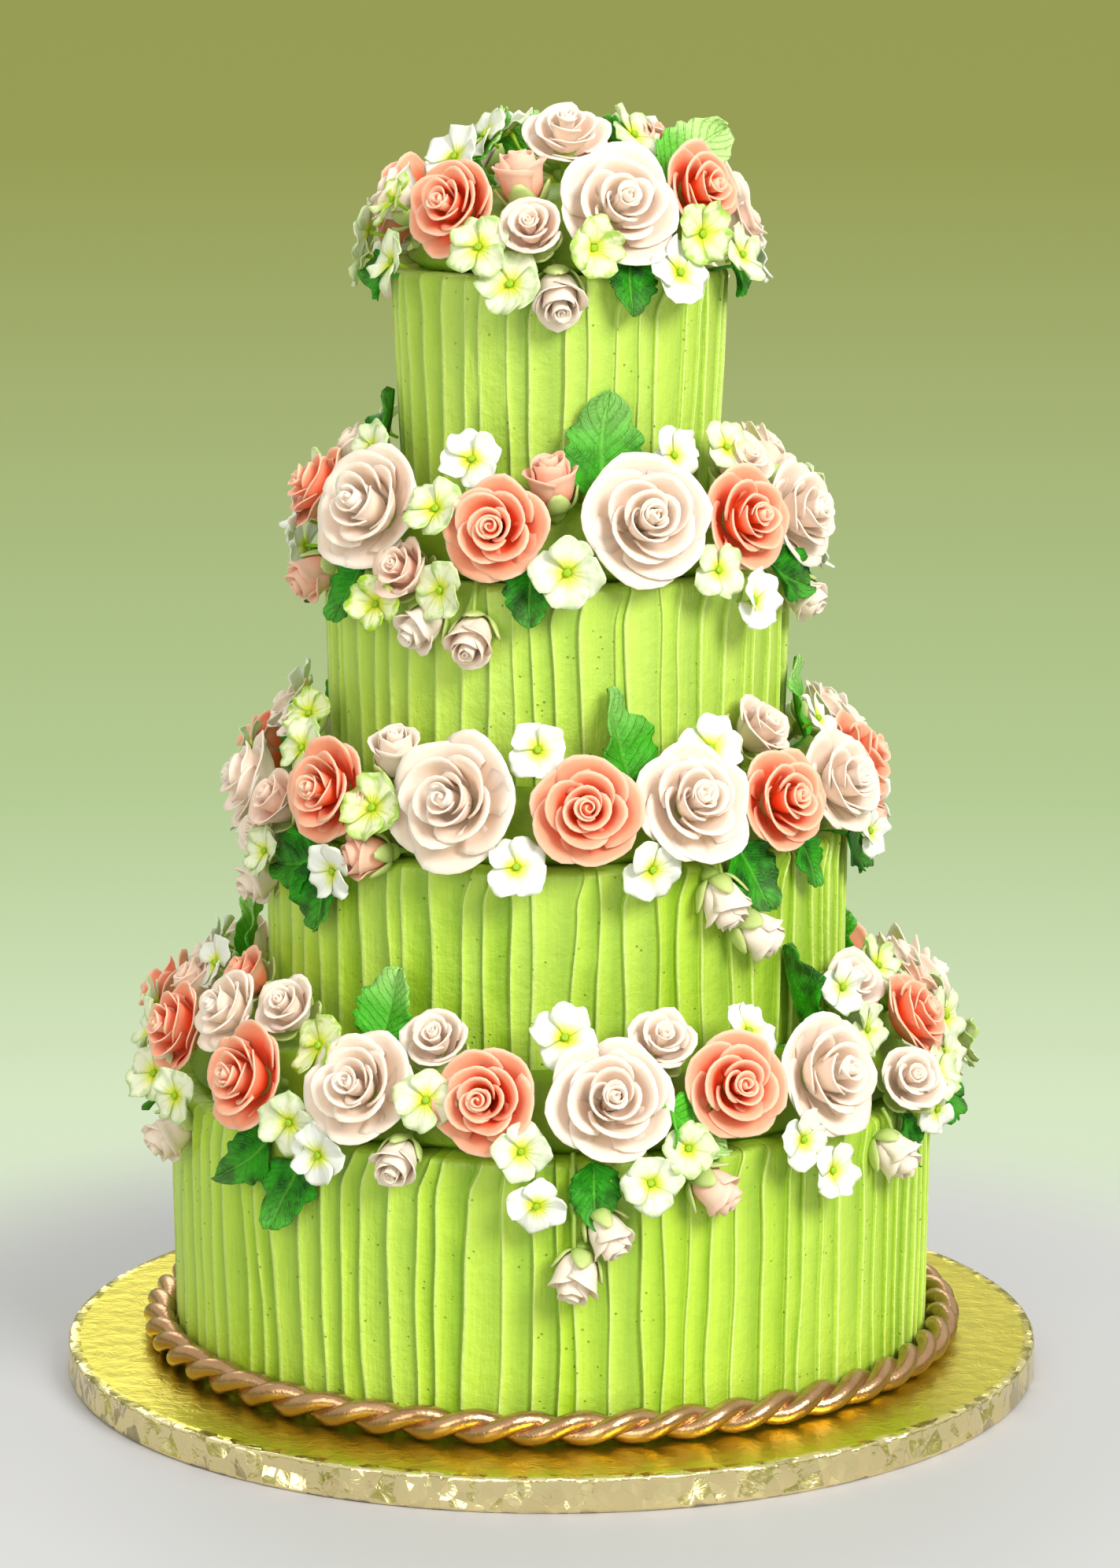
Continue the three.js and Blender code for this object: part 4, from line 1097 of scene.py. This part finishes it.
def rope_form():
    """Two strands twisted together round a circle."""
    form = Form("twisted_rope", "Radius Height Strand Offset", Twists="Int")
    given = form.given
    circle = form.node("GeometryNodeCurvePrimitiveCircle", {"Resolution": ROPE_STEPS, "Radius": 1.0})
    around = form.node("GeometryNodeSplineParameter")["Factor"] * 2 * math.pi
    strands = []
    for phase in (0.0, math.pi):
        outward, upward = form.polar(around * given["Twists"] + phase, given["Offset"])
        front, right = form.polar(around, given["Radius"] + outward)
        place = form.combine(right, front * -1, given["Height"] + upward)
        path = form.node("GeometryNodeSetPosition", {"Geometry": circle["Curve"], "Position": place})
        section = form.node("GeometryNodeCurvePrimitiveCircle",
                            {"Resolution": STRAND_SIDES, "Radius": given["Strand"]})
        strands.append(form.node("GeometryNodeCurveToMesh",
                                 {"Curve": path, "Profile Curve": section["Curve"]}))
    joined = form.node("GeometryNodeJoinGeometry")
    for strand in strands:
        form.set(joined.socket.node.inputs[0], strand)
    form.close(joined)
    return form


def crinkle_form():
    """Pushes a surface in and out by a soft uneven relief."""
    form = Form("crinkle", "Depth Scale")
    given = form.given
    place = form.node("GeometryNodeInputPosition")
    swell = form.noise(place, given["Scale"], 3.0) - 0.5
    normal = form.node("GeometryNodeInputNormal")
    offset = form.node("ShaderNodeVectorMath", {0: normal, "Scale": swell * given["Depth"] * 2},
                       operation="SCALE")
    form.close(form.node("GeometryNodeSetPosition", {"Geometry": given["Geometry"], "Offset": offset}))
    return form


def make_tiers(finish):
    form = tier_form()
    for index, tier in enumerate(TIERS):
        values = {"Foot": tier.foot * MM, "Rim": tier.rim * MM, "Height": tier.height * MM,
                  "Level": LEVELS[index] * MM, "Shift": tier.shift * MM, "Strokes": tier.strokes,
                  "Depth": SMEAR * STROKE_DEPTH * MM, "Seed": float(index + 1), "Pale": TIER_SHEEN[index],
                  "Finish": finish}
        node = f"tier_{index + 1}"
        dress(form.shape(f"icing_{node}", values), node)


def make_rope(finish):
    values = {"Radius": (TIERS[0].foot + GAP + ROPE_LOBE) * MM,
              "Height": (BOARD_THICKNESS + GAP + ROPE_LOBE) * MM, "Strand": STRAND * MM,
              "Offset": (ROPE_LOBE - STRAND) * MM, "Twists": ROPE_TWISTS, "Finish": finish}
    dress(rope_form().shape("rope_strands", values), "rope_border")


def make_board(finish):
    """The foil drum: a flat embossed top, and a side where the foil is folded over in creases."""
    arc = [(1 - math.cos(a), math.sin(a)) for a in np.linspace(0, math.pi / 2, 5)]
    low = [(BOARD_RADIUS - BOARD_CORNER + BOARD_CORNER * s, BOARD_CORNER * c) for c, s in arc]
    side = [(BOARD_RADIUS, z) for z in np.linspace(BOARD_CORNER, BOARD_THICKNESS - BOARD_CORNER, 8)[1:-1]]
    high = [(r, BOARD_THICKNESS - z) for r, z in reversed(low)]
    inner = [(r, BOARD_THICKNESS) for r in (*BOARD_RINGS, 0)]
    profile = np.array([(0, 0), (150, 0), *low, *side, *high, *inner])
    turn = np.linspace(0, 2 * np.pi, BOARD_COLUMNS, endpoint=False)
    radius, height = profile[:, :1], profile[:, 1:]
    on_side = smooth(radius, BOARD_RADIUS - 3, BOARD_RADIUS - 0.4)
    middle = np.sin(np.pi * height / BOARD_THICKNESS)
    folds = sum(
        size * np.abs(np.sin(turn * count / 2 + slant * (height / BOARD_THICKNESS) + start)) ** 0.5
        for size, count, slant, start in FOIL_FOLDS)
    radius = radius - on_side * (0.25 + 0.75 * middle) * (1.2 - folds)
    pile = Pile()
    pile.add_rings(wound(radius, turn, height))
    piece = pile.piece("foil_board", finish)
    rim = piece.data.attributes.new("rim", "FLOAT", "POINT")
    rim.data.foreach_set("value", [
        min(1.0, max(0.0, (math.hypot(v.co.x, v.co.y) / MM - FOIL_RIM) / 2)) for v in piece.data.vertices])
    dress(piece, "board")


# ---------------------------------------------------------------- studio
CAMERA_PLACE = (0.0, -1.8, 0.5597)
CAMERA_DOWN, CAMERA_ROLL = 0.173, -0.002  # radians below the level, and to the side
CAMERA_LENS, CAMERA_SENSOR = 101.3, 36.0
LIT = Vector((0, 0, 0.25))  # the point that every light looks at
LIGHTS = {  # where each stands, how wide it is, its power and its colour
    "key": ((1.73, -2.4, 2.1), 1.5, 110, (1.0, 0.98, 0.95)),
    "fill": ((-0.9, -2.2, 0.8), 1.6, 16, (1.0, 0.98, 0.96)),
    "back": ((-0.4, 1.6, 1.7), 1.8, 16, (1.0, 1.0, 1.0)),
}
SKY = [  # colours from straight below, 0, to straight above, 1
    (0.0, (214, 214, 212)), (0.345, (228, 230, 222)), (0.379, (216, 232, 196)), (0.4135, (182, 204, 148)),
    (0.4845, (152, 158, 86)), (0.53, (150, 156, 84)), (0.62, (208, 210, 176)), (0.72, (234, 235, 230)),
]
FLOOR_CELLS = 24


def make_camera():
    camera = add_object("camera", bpy.data.cameras.new("camera"))
    camera.data.sensor_width, camera.data.lens = CAMERA_SENSOR, CAMERA_LENS
    camera.location = CAMERA_PLACE
    camera.rotation_euler = (math.pi / 2 - CAMERA_DOWN, 0.0, CAMERA_ROLL)
    bpy.context.scene.camera = camera


def make_light(name, place, size, power, shade):
    lamp = bpy.data.lights.new(name, "AREA")
    lamp.shape, lamp.size, lamp.energy, lamp.color = "DISK", size, power, shade
    light = add_object(name, lamp)
    light.location = place
    light.rotation_euler = (LIT - Vector(place)).to_track_quat("-Z", "Y").to_euler()


def make_sky():
    """Even light from above over a soft green surround."""
    world = bpy.data.worlds.new("studio")
    bpy.context.scene.world = world
    world.use_nodes = True
    sky = Graph(world.node_tree)
    place = sky.node("ShaderNodeTexCoord")["Generated"]
    height = sky.node("ShaderNodeSeparateXYZ", {0: place})["Z"]
    ramp = sky.node("ShaderNodeValToRGB", {"Fac": height * 0.5 + 0.5})
    stops = ramp.socket.node.color_ramp.elements
    for _ in SKY[len(stops):]:
        stops.new(1.0)
    for stop, (place, shade) in zip(stops, SKY):
        stop.position, stop.color = place, tint(*shade)
    background = world.node_tree.nodes["Background"].inputs
    sky.set(background["Color"], ramp["Color"])
    sky.set(background["Strength"], 1.0)


def make_floor():
    work = bmesh.new()
    bmesh.ops.create_grid(work, x_segments=FLOOR_CELLS, y_segments=FLOOR_CELLS, size=1.0)
    mesh = bpy.data.meshes.new("floor")
    work.to_mesh(mesh)
    work.free()
    add_object("floor", mesh, plain_floor())


make_camera()
make_sky()
for name, settings in LIGHTS.items():
    make_light(name, *settings)
make_floor()
bpy.context.scene.view_settings.view_transform = "Standard"

FINISHES = {
    # the first colour of each rose paste is a painted highlight along the petal rims
    # the last colour of each rose paste is its fold colour: painted shade and bounced light
    "ivory": rose_sugar("ivory_rose_sugar", (237, 224, 214), (242, 222, 209), (255, 233, 216)),
    "coral": rose_sugar("coral_rose_sugar", (246, 196, 172), (245, 168, 136), (248, 92, 34)),
    "small": small_sugar(),
    "blossom": blossom_sugar(),
    "leaf": leaf_sugar(),
    "calyx": calyx_sugar(),
    "mound": mound_icing(),
}
CRINKLE = crinkle_form()
make_tiers(buttercream())
make_rope(rope_gold())
make_board(foil_gold())
for number, spray in enumerate(SPRAYS, start=1):
    make_spray(number, spray, FINISHES, CRINKLE)
